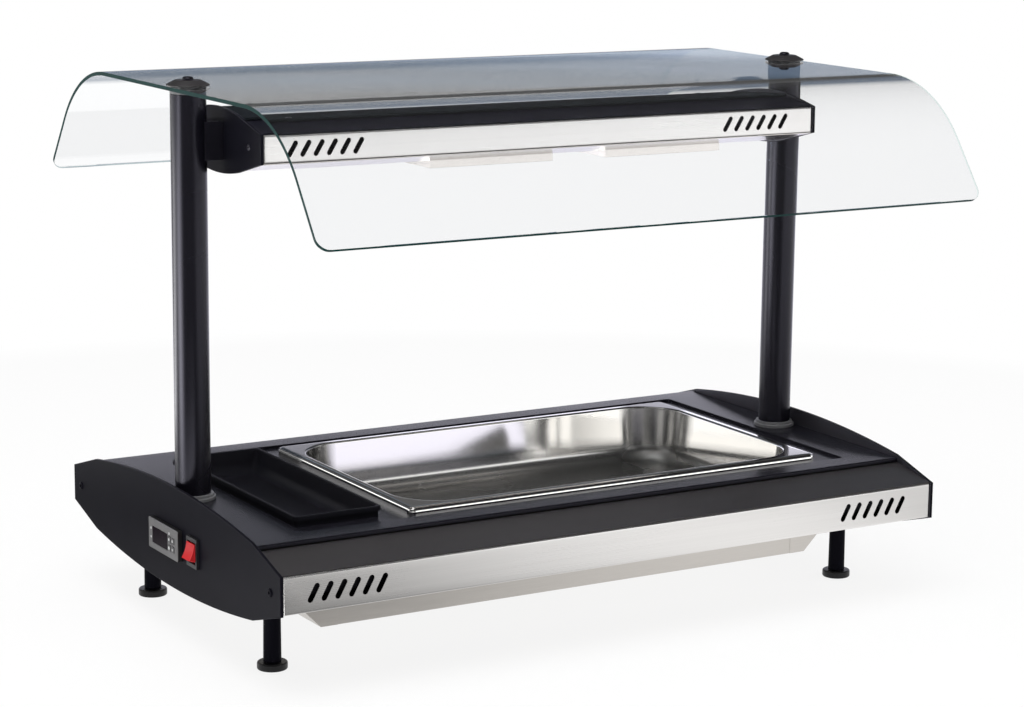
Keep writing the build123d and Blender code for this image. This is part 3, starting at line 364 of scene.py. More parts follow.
# %% Shared effects
clouds_per_grain, bands_per_line = 0.02, 0.08
mark_range = {"From Min": 0.3, "From Max": 0.8}


def new_group(name, label, value, outputs):
    """Empty node group that reads coordinates and one more value, and gives out the named values."""
    group = bpy.data.node_groups.new(name, "ShaderNodeTree")
    group.interface.new_socket("Vector", in_out="INPUT", socket_type="NodeSocketVector")
    kind = "NodeSocketVector" if isinstance(value, tuple) else "NodeSocketFloat"
    group.interface.new_socket(label, in_out="INPUT", socket_type=kind).default_value = value
    for output in outputs:
        group.interface.new_socket(output, in_out="OUTPUT", socket_type="NodeSocketFloat")
    given = group.nodes.new("NodeGroupInput").outputs
    result = group.nodes.new("NodeGroupOutput").inputs
    return group, given["Vector"], given[label], result


fine_grain, vector, grains, result = new_group("fine_grain", "Grains per metre", 900.0, ["Height", "Cloud"])
clouds = math_node(fine_grain, "MULTIPLY", grains, clouds_per_grain)
fine_grain.links.new(noise_node(fine_grain, vector, grains, detail=3.0, roughness=0.6), result["Height"])
fine_grain.links.new(noise_node(fine_grain, vector, clouds, detail=4.0), result["Cloud"])

brushed_lines, vector, stretch, result = new_group("brushed_lines", "Stretch", (4.0, 1500.0, 1500.0),
                                                   ["Line", "Band"])
stretched = add_node(brushed_lines, "ShaderNodeVectorMath", {0: vector, 1: stretch}, operation="MULTIPLY")
vector = stretched.outputs[0]
brushed_lines.links.new(noise_node(brushed_lines, vector, 1.0, detail=4.0, roughness=0.65), result["Line"])
brushed_lines.links.new(noise_node(brushed_lines, vector, bands_per_line, detail=3.0), result["Band"])

handling, vector, marks, result = new_group("handling", "Marks per metre", 9.0, ["Mask"])
cloudy = noise_node(handling, vector, marks, detail=1.0, roughness=0.4)
spread = add_node(handling, "ShaderNodeMapRange", {"Value": cloudy, **mark_range},
                  interpolation_type="SMOOTHSTEP")
handling.links.new(spread.outputs[0], result["Mask"])
print("shared effects:", [group.name for group in bpy.data.node_groups])

# %% [markdown]
# Every finish starts the same way: a new material with one Principled shader, which reads the piece's own
# coordinates in metres. These helpers add that start, a use of a group, a value that follows from a mask,
# the links to the shader, and a bump.

# %% Helpers for finishes
def new_finish(name, **values):
    """Material with one Principled shader, its plain values set on the shader's own sockets."""
    material = bpy.data.materials.new(name)
    material.use_nodes = True
    tree = material.node_tree
    shader = tree.nodes["Principled BSDF"]
    for label, value in values.items():
        shader.inputs[label.replace("_", " ")].default_value = value
    place = add_node(tree, "ShaderNodeTexCoord").outputs["Object"]
    return material, tree, shader, place


def use_group(tree, group, **inputs):
    """One use of a shared effect; returns its outputs."""
    sockets = {label.replace("_", " "): value for label, value in inputs.items()}
    return add_node(tree, "ShaderNodeGroup", sockets, node_tree=group).outputs


def between(tree, mask, low, high):
    """Value that goes from low to high as the mask goes from 0 to 1."""
    return add_node(tree, "ShaderNodeMapRange", {"Value": mask, "To Min": low, "To Max": high}).outputs[0]


def feed(tree, node, **sources):
    """Links each source to the node's socket of that name."""
    for label, source in sources.items():
        tree.links.new(source, node.inputs[label.replace("_", " ")])


def raise_bumps(tree, shader, bump_height, depth, strength):
    """Bump of the given depth in metres, into the shader's normal."""
    bump = add_node(tree, "ShaderNodeBump", {"Height": bump_height, "Distance": depth, "Strength": strength})
    feed(tree, shader, Normal=bump.outputs[0])


# %% [markdown]
# The black sheet metal is powder coated: a hard, slightly rough skin with a fine pebbled grain that turns
# grey at a grazing look. Its edges are painted a little lighter where the piece carries an "edge" attribute,
# partly as rubbed wear and partly as a painted highlight.
# The sloping fronts have a smoother, warmer grey coat, and the inner faces of the plates a greyer copy of
# the black coat, painted lighter to stand for the light that falls on them. All of them, and the plastics and
# rubbers, are the same recipe with other numbers, so a table holds these.

# %% Coats and plastics
tone_border = 0.0002
bezel_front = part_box("controller_case")[0][0]
bezel_depth = 0.0007
lavender = (0.85, 0.83, 1.0, 1)


def grained_finish(name, dark, light, roughness, grains, depth, strength=0.35, rubbed=None, behind=None,
                   handled=0.04, **values):
    """Coat or plastic: two tones mixed by a soft cloud, roughness that varies with handling, a grained bump.
    Behind a place along X it can have another tone."""
    material, tree, shader, place = new_finish(name, **values)
    grain = use_group(tree, fine_grain, Vector=place, Grains_per_metre=grains)
    marks = use_group(tree, handling, Vector=place)
    tone = blend(tree, grain["Cloud"], dark, light)
    # Edges are painted a lighter tone: partly rubbed wear, partly a painted highlight.
    if rubbed:
        edge = add_node(tree, "ShaderNodeAttribute", attribute_name="edge").outputs["Fac"]
        tone = blend(tree, edge, tone, rubbed)
    if behind:
        border, other_tone = behind
        across = add_node(tree, "ShaderNodeSeparateXYZ", {0: place}).outputs["X"]
        tone = blend(tree, fade(tree, across, border - tone_border, border + tone_border), tone, other_tone)
    rough = between(tree, marks["Mask"], roughness, roughness - handled)
    feed(tree, shader, Base_Color=tone, Roughness=rough)
    raise_bumps(tree, shader, grain["Height"], depth, strength)
    return material


# The edge tones below are painted onto rounded edges: partly rubbed wear, partly a painted highlight.
coats = {
    "black_coat": dict(dark=(0.0065, 0.0062, 0.0088), light=(0.011, 0.0105, 0.0145), roughness=0.25,
                       grains=900.0, depth=0.0002, strength=0.25, rubbed=(0.035, 0.035, 0.04),
                       Specular_IOR_Level=0.15, Specular_Tint=lavender),
    "panel_coat": dict(dark=(0.0055, 0.0053, 0.0085), light=(0.009, 0.0087, 0.013), roughness=0.36,
                       grains=900.0, depth=0.0002, strength=0.25, rubbed=(0.03, 0.03, 0.035),
                       Specular_IOR_Level=0.015, Specular_Tint=lavender),
    # Inner faces of the plates: a lighter, glossier copy of the coat, painted light.
    "painted_lit_inner_coat": dict(dark=(0.022, 0.021, 0.025), light=(0.032, 0.031, 0.037), roughness=0.42,
                       grains=900.0, depth=0.0003, strength=0.4,
                       Specular_IOR_Level=0.6, Specular_Tint=lavender),
    "matt_coat": dict(dark=(0.011, 0.0125, 0.015), light=(0.017, 0.019, 0.022), roughness=0.6,
                      grains=900.0, depth=0.0002, strength=0.25, Specular_IOR_Level=0.0),
    "dark_coat": dict(dark=(0.029, 0.027, 0.0285), light=(0.037, 0.0345, 0.0365), roughness=0.3,
                      grains=500.0, depth=0.00005, strength=0.1, rubbed=(0.05, 0.048, 0.05), handled=0.005,
                      Specular_IOR_Level=0.4),
    "post_coat": dict(dark=(0.0035, 0.0032, 0.0055), light=(0.006, 0.0056, 0.0085), roughness=0.28,
                      grains=1200.0, depth=0.00001, strength=0.1,
                      Specular_IOR_Level=0.3, Specular_Tint=lavender),
    "black_plastic": dict(dark=(0.014, 0.014, 0.016), light=(0.022, 0.022, 0.024), roughness=0.42,
                          grains=1600.0, depth=0.0001, strength=0.3, rubbed=(0.05, 0.05, 0.052),
                          Specular_IOR_Level=0.2),
    "bezel_plastic": dict(dark=(0.085, 0.083, 0.086), light=(0.11, 0.107, 0.11), roughness=0.45,
                          grains=1800.0, depth=0.0001,
                          behind=(bezel_front + bezel_depth, (0.008, 0.008, 0.009))),
    "tray_plastic": dict(dark=(0.0065, 0.0063, 0.009), light=(0.011, 0.0107, 0.0145), roughness=0.5,
                         grains=700.0, depth=0.0003, Specular_IOR_Level=0.05),
    "grey_plastic": dict(dark=(0.11, 0.11, 0.115), light=(0.15, 0.15, 0.155), roughness=0.35,
                         grains=1200.0, depth=0.0001),
    "key_rubber": dict(dark=(0.06, 0.059, 0.062), light=(0.08, 0.078, 0.082), roughness=0.55,
                       grains=2500.0, depth=0.00005),
    "foot_rubber": dict(dark=(0.005, 0.005, 0.006), light=(0.009, 0.009, 0.01), roughness=0.4,
                        grains=900.0, depth=0.0001, Specular_IOR_Level=0.3),
    "display": dict(dark=(0.006, 0.002, 0.006), light=(0.01, 0.004, 0.01), roughness=0.16,
                    grains=60.0, depth=0.00002, strength=0.05, Specular_IOR_Level=0.03),
    "ceramic": dict(dark=(0.62, 0.58, 0.52), light=(0.76, 0.73, 0.67), roughness=0.4,
                    grains=300.0, depth=0.0002),
    "insulation": dict(dark=(0.46, 0.42, 0.3), light=(0.62, 0.58, 0.45), roughness=0.9,
                       grains=250.0, depth=0.002, strength=0.8),
    "white_print": dict(dark=(0.72, 0.72, 0.72), light=(0.82, 0.82, 0.82), roughness=0.5,
                        grains=2000.0, depth=0.00002),
    "red_plastic": dict(dark=(0.58, 0.022, 0.026), light=(0.7, 0.03, 0.035), roughness=0.4,
                        grains=120.0, depth=0.00005, strength=0.1, rubbed=(0.8, 0.08, 0.085),
                        Specular_IOR_Level=0.08),
}
finishes = {name: grained_finish(name, **look) for name, look in coats.items()}
print("coats and plastics:", sorted(finishes))

# %% [markdown]
# Stainless sheet comes brushed: thousands of fine scratches run one way, so a reflection is smeared across
# them and stays sharp along them. A noise squeezed hard across the strip gives the lines; it drives the
# tone, the roughness and a very shallow bump. The pan is drawn and polished, so its lines are fainter and
# its reflections clearer, but its floor and its two rear corners are rougher than its walls and painted
# darker, as shade.

# %% Stainless steels
line_share, band_share = 0.6, 0.4
line_strength = 0.3
steel_marks = 7.0
floor_blend, corner_blend = 0.02, (-0.004, 0.012)


def steel_finish(name, dull, bright, roughness, stretch, line_depth, handled=0.03, uneven=0.2,
                 satin_shaded_floor=None, drawn_shaded_corners=None):
    """Brushed metal: line noise stretched along one axis mixes two tones and two roughnesses and cuts the
    bump. Below a level, and at the rear corners of a drawn piece, it can be rougher and painted darker, as
    shade."""
    material, tree, shader, place = new_finish(name, Metallic=1.0)
    lines = use_group(tree, brushed_lines, Vector=place, Stretch=stretch)
    marks = use_group(tree, handling, Vector=place, Marks_per_metre=steel_marks)
    streak = math_node(tree, "ADD", math_node(tree, "MULTIPLY", lines["Line"], line_share),
                       math_node(tree, "MULTIPLY", lines["Band"], band_share))
    tone = blend(tree, streak, dull, bright)
    rough = between(tree, lines["Line"], roughness * (1 - uneven), roughness * (1 + uneven))
    rough = math_node(tree, "ADD", rough, math_node(tree, "MULTIPLY", marks["Mask"], handled))
    zones = []
    if satin_shaded_floor:
        level, extra, painted_shade = satin_shaded_floor
        height = add_node(tree, "ShaderNodeSeparateXYZ", {0: place}).outputs["Z"]
        zones.append((fade(tree, height, level + floor_blend, level), extra, painted_shade))
    if drawn_shaded_corners:
        middle, straight, extra, painted_shade = drawn_shaded_corners
        aside = add_node(tree, "ShaderNodeVectorMath", {0: place, 1: (*middle, 0)}, operation="SUBTRACT")
        x, y, _ = add_node(tree, "ShaderNodeSeparateXYZ", {0: aside.outputs[0]}).outputs
        past_x = math_node(tree, "SUBTRACT", math_node(tree, "ABSOLUTE", x), straight[0])
        past_y = math_node(tree, "SUBTRACT", y, straight[1])
        corner = fade(tree, math_node(tree, "MINIMUM", past_x, past_y), *corner_blend)
        zones.append((corner, extra, painted_shade))
    # Each zone is rougher, and its tone is painted darker as shade.
    for zone, extra, painted_shade in zones:
        rough = math_node(tree, "ADD", rough, math_node(tree, "MULTIPLY", zone, extra))
        tone = blend(tree, zone, tone, [painted_shade * value for value in dull])
    feed(tree, shader, Base_Color=tone, Roughness=rough)
    raise_bumps(tree, shader, lines["Line"], line_depth, line_strength)
    return material


pan_rim_width, pan_mouth_corner, pan_floor_rise = 0.012, 0.055, 0.006
# Added roughness, and the share of the tone that is left, which paints the zone darker as shade.
floor_dulling_and_shade, corner_dulling_and_shade = (0.2, 0.5), (0.12, 0.25)
pan_low, pan_high = [np.array(corner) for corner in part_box("food_pan")]
pan_middle = (pan_low + pan_high)[:2] / 2
pan_straight = (pan_high - pan_low)[:2] / 2 - pan_rim_width - pan_mouth_corner
steels = {
    "brushed_stainless": dict(dull=(0.7, 0.685, 0.67), bright=(0.84, 0.825, 0.81), roughness=0.28,
                              stretch=(5.0, 1400.0, 1400.0), line_depth=0.000005),
    "plain_stainless": dict(dull=(0.5, 0.475, 0.445), bright=(0.66, 0.63, 0.595), roughness=0.34,
                            stretch=(14.0, 500.0, 500.0), line_depth=0.00003),
    "polished_stainless": dict(dull=(0.9, 0.89, 0.87), bright=(0.91, 0.9, 0.88), roughness=0.07,
                               stretch=(12.0, 900.0, 900.0), line_depth=0.0, handled=0.005, uneven=0.02,
                               satin_shaded_floor=(pan_low[2] + pan_floor_rise, *floor_dulling_and_shade),
                               drawn_shaded_corners=(pan_middle, pan_straight, *corner_dulling_and_shade)),
    "lamp_stainless": dict(dull=(0.62, 0.59, 0.565), bright=(0.74, 0.71, 0.685), roughness=0.22,
                           stretch=(8.0, 700.0, 700.0), line_depth=0.00001),
}
finishes.update({name: steel_finish(name, **look) for name, look in steels.items()})
print("steels:", list(steels))

# %% [markdown]
# The canopy is clear toughened glass. Seen from above it is almost invisible; at a grazing look it mirrors
# the room, which the Fresnel term of the shader does by itself. Light passes straight on to what is below,
# so shadow rays see the glass as transparent. Its ground edges look dark green from outside, because there
# one looks along the sheet; from inside, through the sheet, they are clear.

# %% Glass
def clear_glass_finish():
    """Transmitting shader, with a transparent one in its place for shadow rays."""
    material, tree, shader, place = new_finish("clear_glass", Base_Color=(0.985, 0.992, 1.0, 1),
                                               Transmission_Weight=1.0, IOR=1.5)
    marks = use_group(tree, handling, Vector=place, Marks_per_metre=5.0)
    feed(tree, shader, Roughness=between(tree, marks["Mask"], 0.0, 0.012))
    let_through = add_node(tree, "ShaderNodeBsdfTransparent", {"Color": (0.95, 0.965, 0.97, 1)})
    shadow = add_node(tree, "ShaderNodeLightPath").outputs["Is Shadow Ray"]
    feed(tree, tree.nodes["Material Output"], Surface=mix_shaders(tree, shadow, shader, let_through))
    return material


def glass_edge_finish():
    """Dark green edge seen from outside, clear from inside the sheet."""
    material, tree, shader, place = new_finish("glass_edge", Roughness=0.35, Specular_IOR_Level=0.03)
    grain = use_group(tree, fine_grain, Vector=place, Grains_per_metre=1500.0)
    feed(tree, shader, Base_Color=blend(tree, grain["Cloud"], (0.004, 0.03, 0.028), (0.012, 0.055, 0.051)))
    clear = add_node(tree, "ShaderNodeBsdfTransparent", {"Color": (0.8, 0.9, 0.88, 1)})
    inside = add_node(tree, "ShaderNodeNewGeometry").outputs["Backfacing"]
    feed(tree, tree.nodes["Material Output"], Surface=mix_shaders(tree, inside, shader, clear))
    return material


def lamp_glass_finish():
    """Quartz tube with a milky inner coating."""
    material, tree, shader, place = new_finish("lamp_glass", Coat_Weight=1.0, Coat_Roughness=0.03)
    marks = use_group(tree, handling, Vector=place, Marks_per_metre=60.0)
    feed(tree, shader, Base_Color=blend(tree, marks["Mask"], (0.78, 0.74, 0.66), (0.9, 0.87, 0.8)),
         Roughness=between(tree, marks["Mask"], 0.12, 0.3))
    return material


finishes["clear_glass"] = clear_glass_finish()
finishes["glass_edge"] = glass_edge_finish()
finishes["lamp_glass"] = lamp_glass_finish()
print("glass finishes:", [name for name in finishes if "glass" in name])

# %% [markdown]
# The engineering model's own pieces that stay on show take the finish of their slot in the record. The
# recessed ledge under the deck and the tie bars are coated black like the deck, so they are set apart here.

# %% Dress the engineering model
slot_of = {part["node"]: part["material_slot"] for part in frame["record"]["subparts"]}
coated_black = ("heated_well", "base_tie_bars", "lamp_tie_bars")
for node, piece in frame["nodes"].items():
    piece.data.materials.clear()
    piece.data.materials.append(finishes["black_coat" if node in coated_black else slot_of[node]])
print("dressed", len(slot_of), "nodes")

# %% [markdown]
# Now the pieces. A surface is a grid of points: a shape computed for every pair of two parameters at once,
# with quads between neighbours. These helpers turn such a grid into a mesh, close its seams and poles, and
# put the finished piece on show: on the body it rides on, in place of the node that it stands for.

# %% From grids to pieces
smooth_below = math.radians(40)
same_point = 1e-7


def grid_quads(rows, columns, wrap_rows=False, wrap_columns=False):
    """Corner numbers of the quads of a grid; a wrapped direction also joins its last line to its first."""
    row, column = np.meshgrid(np.arange(rows if wrap_rows else rows - 1),
                              np.arange(columns if wrap_columns else columns - 1), indexing="ij")
    next_row, next_column = (row + 1) % rows, (column + 1) % columns
    quads = [row * columns + column, row * columns + next_column,
             next_row * columns + next_column, next_row * columns + column]
    return np.stack(quads, -1).reshape(-1, 4)


def tidy_mesh(mesh, flat_angle=0.0):
    """Merges doubles, drops empty faces, points every face outwards and smooths all but the sharp edges."""
    work = bmesh.new()
    work.from_mesh(mesh)
    bmesh.ops.remove_doubles(work, verts=work.verts, dist=same_point)
    bmesh.ops.dissolve_degenerate(work, edges=work.edges, dist=same_point)
    if flat_angle:
        bmesh.ops.dissolve_limit(work, angle_limit=flat_angle, verts=work.verts, edges=work.edges)
    bmesh.ops.recalc_face_normals(work, faces=work.faces)
    work.to_mesh(mesh)
    work.free()
    mesh.polygons.foreach_set("use_smooth", np.ones(len(mesh.polygons), bool))
    mesh.set_sharp_from_angle(angle=smooth_below)
    return mesh


def solid_mesh(name, grids, wrap_rows=False, wrap_columns=False, caps=False, edge=None):
    """Mesh of one or more equal grids [copies, rows, columns, 3]. Caps close the first and the last row."""
    grids = np.asarray(grids, float)
    grids = grids.reshape(-1, *grids.shape[-3:])
    copies, rows, columns = grids.shape[:3]
    step = (np.arange(copies) * rows * columns)[:, None, None]
    faces = (grid_quads(rows, columns, wrap_rows, wrap_columns)[None] + step).reshape(-1, 4).tolist()
    if caps:
        first = np.arange(columns)[None] + step[:, :, 0]
        faces += first[:, ::-1].tolist() + (first + (rows - 1) * columns).tolist()
    mesh = bpy.data.meshes.new(name)
    mesh.from_pydata(grids.reshape(-1, 3).tolist(), [], faces)
    if edge is not None:
        values = np.broadcast_to(np.asarray(edge, float)[None, :, None], (copies, rows, columns))
        layer = mesh.attributes.new("edge", "FLOAT", "POINT")
        layer.data.foreach_set("value", np.ascontiguousarray(values, np.float32).ravel())
    return tidy_mesh(mesh)


def show(name, mesh, finish, body, slot, *nodes):
    """Puts a mesh on show as a piece that rides on a body and, where nodes are named, stands for them."""
    piece = bpy.data.objects.new(name, mesh)
    scene.collection.objects.link(piece)
    mesh.materials.append(finishes[finish])
    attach(piece, body)
    if nodes:
        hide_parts(*nodes)
    print(f"{name}: {len(mesh.vertices)} points")
    return piece


def even_shading(piece):
    """Keeps wide flat faces flat in their shading beside narrow rounded edges."""
    weighted = piece.modifiers.new("even_shading", "WEIGHTED_NORMAL")
    weighted.keep_sharp = True


def node_box(node):
    """Lowest and highest corner of a node as arrays."""
    return tuple(np.array(corner, float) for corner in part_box(node))


# %% [markdown]
# The two end panels and the lamp housing's end caps are laser-cut plates of one family: a short upright edge,
# a straight slope to a kink and a long shallow arc. The outline is worked out once and carried across the
# plate's thickness, drawn in along a quarter circle at each face, so that every edge is softly rounded. The
# faces that look inwards take a second material, a greyer copy of the coat that is painted lighter to stand
# for the light falling on them.

# %% Lens-shaped plates
plate_edge_radius = 0.0007
inward_share = 0.9
side_plate = dict(edge=0.0205, kink_inset=0.0649, kink_rise=0.0197)
lamp_plate = dict(edge=0.0155, kink_inset=0.0558, kink_rise=0.0145)


def lens_outline(half_depth, edge, kink_depth, kink, crown, steps=48):
    """Closed (y, z) loop: an arc through (-kink_depth, kink), (0, crown) and (kink_depth, kink), straight
    slopes down to the upright edges, and the same again below."""
    rise = crown - kink
    radius = (kink_depth ** 2 + rise ** 2) / (2 * rise)
    turn = math.asin(kink_depth / radius)
    angle = np.linspace(turn, -turn, steps)
    arc = np.stack([radius * np.sin(angle), crown - radius + radius * np.cos(angle)], -1)
    upper = np.concatenate([[[half_depth, edge]], arc, [[-half_depth, edge]]])
    return np.concatenate([upper, -upper])


def outward(loop):
    """Outward directions at the corners of a counter-clockwise loop, scaled so that an offset stays even."""
    ahead = np.roll(loop, -1, 0) - loop
    ahead /= np.linalg.norm(ahead, axis=1, keepdims=True)
    normal = np.stack([ahead[:, 1], -ahead[:, 0]], -1)
    both = normal + np.roll(normal, 1, 0)
    return 2 * both / np.sum(both * both, axis=1, keepdims=True)


def rounded_plate(loop, low, high, edge_radius, steps=4):
    """Rings of a plate between two heights: at each face the loop is drawn in by r(1 - sin t) at the depth
    r(1 - cos t). Gives the rings as (first, second, height) points, and how much each ring is an edge."""
    turn = np.linspace(0, math.pi / 2, steps)
    inset = edge_radius * (1 - np.sin(turn))
    depth = edge_radius * (1 - np.cos(turn))
    inset = np.concatenate([inset, inset[::-1]])
    level = np.concatenate([low + depth, (high - depth)[::-1]])
    edge = np.sin(2 * np.concatenate([turn, turn[::-1]]))
    flat = loop[None] - inset[:, None, None] * outward(loop)[None]
    return np.concatenate([flat, np.broadcast_to(level[:, None, None], (*flat.shape[:2], 1))], -1), edge


def stand_up(rings, y, z):
    """Turns flat rings so that their height runs along X, about a middle at (y, z)."""
    return rings[..., [2, 0, 1]] + [0, y, z]


def lens_plate(name, node, edge, kink_inset, kink_rise):
    """One lens-shaped plate, in the place and size of its node; its inner face takes a lighter copy of the
    coat, painted light.
    """
    low, high = node_box(node)
    middle = (low + high) / 2
    half_depth, crown = (high - low)[1:] / 2
    loop = lens_outline(half_depth, edge, half_depth - kink_inset, edge + kink_rise, crown)
    rings, rim = rounded_plate(loop, low[0], high[0], plate_edge_radius)
    mesh = solid_mesh(name, stand_up(rings, *middle[1:]), wrap_columns=True, caps=True, edge=rim)
    even_shading(show(name, mesh, "panel_coat", "warmer", "black_coat", node))
    normals = np.empty((len(mesh.polygons), 3))
    mesh.polygons.foreach_get("normal", normals.ravel())
    looks_inwards = -np.sign(middle[0]) * normals[:, 0] > inward_share
    # Faces that look inwards take the lighter coat: painted light.
    mesh.materials.append(finishes["painted_lit_inner_coat"])
    mesh.polygons.foreach_set("material_index", looks_inwards.astype(np.int32))


for end in ("left", "right"):
    lens_plate(f"{end}_side_plate", f"{end}_end_panel", **side_plate)
    lens_plate(f"{end}_lamp_plate", f"lamp_{end}_cap", **lamp_plate)

# %% [markdown]
# The deck is one folded sheet with a large opening. Its section is a thin upside-down tray: a short
# turned-down lip at the opening, a flat top and a rounded lip at the outer edge. The section is carried round
# two rounded rectangles, the opening and the outer edge, which have the same number of points, so that the
# quads join them. The opening's rear left corner, beside the post, is rounder than the others.

# %% Deck
def rounded_rectangle(half_x, half_y, corner, steps=10):
    """Counter-clockwise (x, y) loop: a quarter circle at each corner, straight lines between."""
    angle = np.linspace(0, math.pi / 2, steps)[None] + np.arange(4)[:, None] * math.pi / 2
    side_x = np.array([1, -1, -1, 1])[:, None] * (half_x - corner)
    side_y = np.array([1, 1, -1, -1])[:, None] * (half_y - corner)
    return np.stack([side_x + corner * np.cos(angle), side_y + corner * np.sin(angle)], -1).reshape(-1, 2)


def rings_of(loops, levels, centre=(0, 0)):
    """Stacks (x, y) loops at their heights into rings of points."""
    loops = np.asarray(loops) + np.asarray(centre)
    levels = np.broadcast_to(np.asarray(levels, float)[:, None, None], (*loops.shape[:2], 1))
    return np.concatenate([loops, levels], -1)


def quarter(steps=5):
    """Angles of a quarter turn."""
    return np.linspace(0, math.pi / 2, steps)


opening_half, opening_centre = np.array([0.3442, 0.181]), np.array([0.0048, 0.0])
opening_bend, opening_round, opening_round_at_post = 0.001, 0.004, 0.036
opening_corner = np.array([[opening_round], [opening_round_at_post], [opening_round], [opening_round]])
deck_sheet, deck_lip, deck_bend, deck_corner = 0.0015, 0.004, 0.002, 0.0021
deck_low, deck_high = node_box("deck_plate")
deck_top, ledge_top = deck_high[2], deck_low[2]
deck_outer = (deck_high - deck_low)[:2] / 2
turn = quarter()
inner_inset = np.concatenate([[0], -opening_bend * (1 - np.cos(turn))])
inner_level = np.concatenate([[ledge_top], deck_top - opening_bend * (1 - np.sin(turn))])
outer_inset = np.concatenate([deck_bend * (1 - np.sin(turn)), [0, deck_sheet, deck_sheet]])
outer_level = np.concatenate([deck_top - deck_bend * (1 - np.cos(turn)),
                              [deck_top - deck_lip, deck_top - deck_lip, deck_top - deck_sheet]])


def opening_loop(inset):
    """The opening's edge, drawn in by an inset."""
    return opening_centre + rounded_rectangle(*(opening_half - inset), opening_corner - inset)


deck_loops = [opening_loop(inset) for inset in inner_inset]
deck_loops += [rounded_rectangle(*(deck_outer - inset), deck_corner - inset) for inset in outer_inset]
deck_loops += [opening_loop(-deck_sheet)] * 2
deck_levels = np.concatenate([inner_level, outer_level, [deck_top - deck_sheet, ledge_top]])
deck_mesh = solid_mesh("deck", rings_of(deck_loops, deck_levels), wrap_rows=True, wrap_columns=True)
even_shading(show("deck", deck_mesh, "black_coat", "warmer", "black_coat", "deck_plate"))

# %% [markdown]
# The slotted strips and the other folded sheets already have the right shape, but their edges are knife
# sharp, and a sharp edge never catches light. A copy of each node is welded, because its triangles come
# loose; flat neighbours are joined, and a bevel of a few tenths of a millimetre rounds what is left.

# %% Folded sheets with softened edges
weld_step = 1e-6
flat_below = math.radians(0.5)


def welded_copy(name, node):
    """Copy of a node's mesh: corners that agree to a micron become one, flat neighbours become one face."""
    source = frame["nodes"][node].data
    points = np.empty(len(source.vertices) * 3)
    source.vertices.foreach_get("co", points)
    corners = np.empty(len(source.loops), int)
    source.loops.foreach_get("vertex_index", corners)
    keys = np.round(points.reshape(-1, 3) / weld_step).astype(np.int64)
    welded, number = np.unique(keys, axis=0, return_inverse=True)
    faces = number.reshape(-1)[corners].reshape(-1, 3)
    whole = (faces[:, 0] != faces[:, 1]) & (faces[:, 1] != faces[:, 2]) & (faces[:, 2] != faces[:, 0])
    mesh = bpy.data.meshes.new(name)
    mesh.from_pydata((welded * weld_step).tolist(), [], faces[whole].tolist())
    return tidy_mesh(mesh, flat_angle=flat_below)


def bevel_edges(piece, name, width):
    """Bevel of a given width on the sharp edges of a piece."""
    bevel = piece.modifiers.new(name, "BEVEL")
    bevel.width, bevel.segments, bevel.limit_method = width, 2, "ANGLE"
    bevel.angle_limit = smooth_below
    bevel.harden_normals = True
    return bevel


def softened(name, node, finish, width):
    """Piece that stands for a node, with its sharp edges bevelled."""
    piece = show(name, welded_copy(name, node), finish, "warmer", slot_of[node], node)
    bevel_edges(piece, "soft_edges", width)


for side in ("front", "rear"):
    softened(f"{side}_slotted_strip", f"{side}_trim_strip", "brushed_stainless", width=0.0003)
    softened(f"{side}_slope", f"{side}_slope_panel", "dark_coat", width=0.0004)
    softened(f"{side}_lamp_slotted_strip", f"lamp_{side}_strip", "brushed_stainless", width=0.0003)
    softened(f"{side}_lamp_slope", f"lamp_{side}_slope", "panel_coat", width=0.0003)
for side in ("left", "right"):
    softened(f"{side}_lamp_trough", f"{side}_reflector", "lamp_stainless", width=0.0003)
softened("lamp_roof", "lamp_top_plate", "matt_coat", width=0.0002)
softened("lamp_bright_sheet", "lamp_underside", "lamp_stainless", width=0.0003)
softened("lamp_saddles", "lamp_brackets", "black_coat", width=0.0008)
softened("under_casing", "bottom_casing", "plain_stainless", width=0.0003)
softened("under_plate", "bottom_plate", "plain_stainless", width=0.0003)
softened("wiring_cover", "electrics_cover", "plain_stainless", width=0.0004)
softened("cord_gland", "cable_gland", "black_plastic", width=0.0004)
softened("controller_box", "controller_case", "bezel_plastic", width=0.0004)
softened("switch_frame", "switch_body", "black_plastic", width=0.0006)

# %% [markdown]
# The canopy is one flat pane, cut with round corners and then bent hot over two formers. So it is computed
# flat, as length across and distance along the sheet, and then bent: the distance runs along a straight, an
# arc and a straight again. The under face is the same grid, moved in along the sheet's normal.

# %% Glass canopy
glass_thickness, glass_corner, ground_edge = 0.004, 0.014, 0.0005
glass_flat_half, glass_bend_radius, glass_flap = 0.1795, 0.1488, 0.0755
glass_bend = math.radians(54)
glass_low, glass_high = node_box("glass_canopy")
glass_half_length = (glass_high - glass_low)[0] / 2
glass_bend_end = glass_flat_half + glass_bend_radius * glass_bend
glass_half_run = glass_bend_end + glass_flap


def bent(run, drop):
    """(y, z) of points at a distance along the outer face and a depth below it: flat, arc, then straight."""
    away = np.abs(run)
    turn = np.clip((away - glass_flat_half) / glass_bend_radius, 0, glass_bend)
    past = np.maximum(away - glass_bend_end, 0)
    radius = glass_bend_radius - drop
    y = np.minimum(away, glass_flat_half) + radius * np.sin(turn) + past * np.cos(turn)
    z = glass_high[2] - glass_bend_radius + radius * np.cos(turn) - past * np.sin(turn)
    return np.sign(run) * y, z


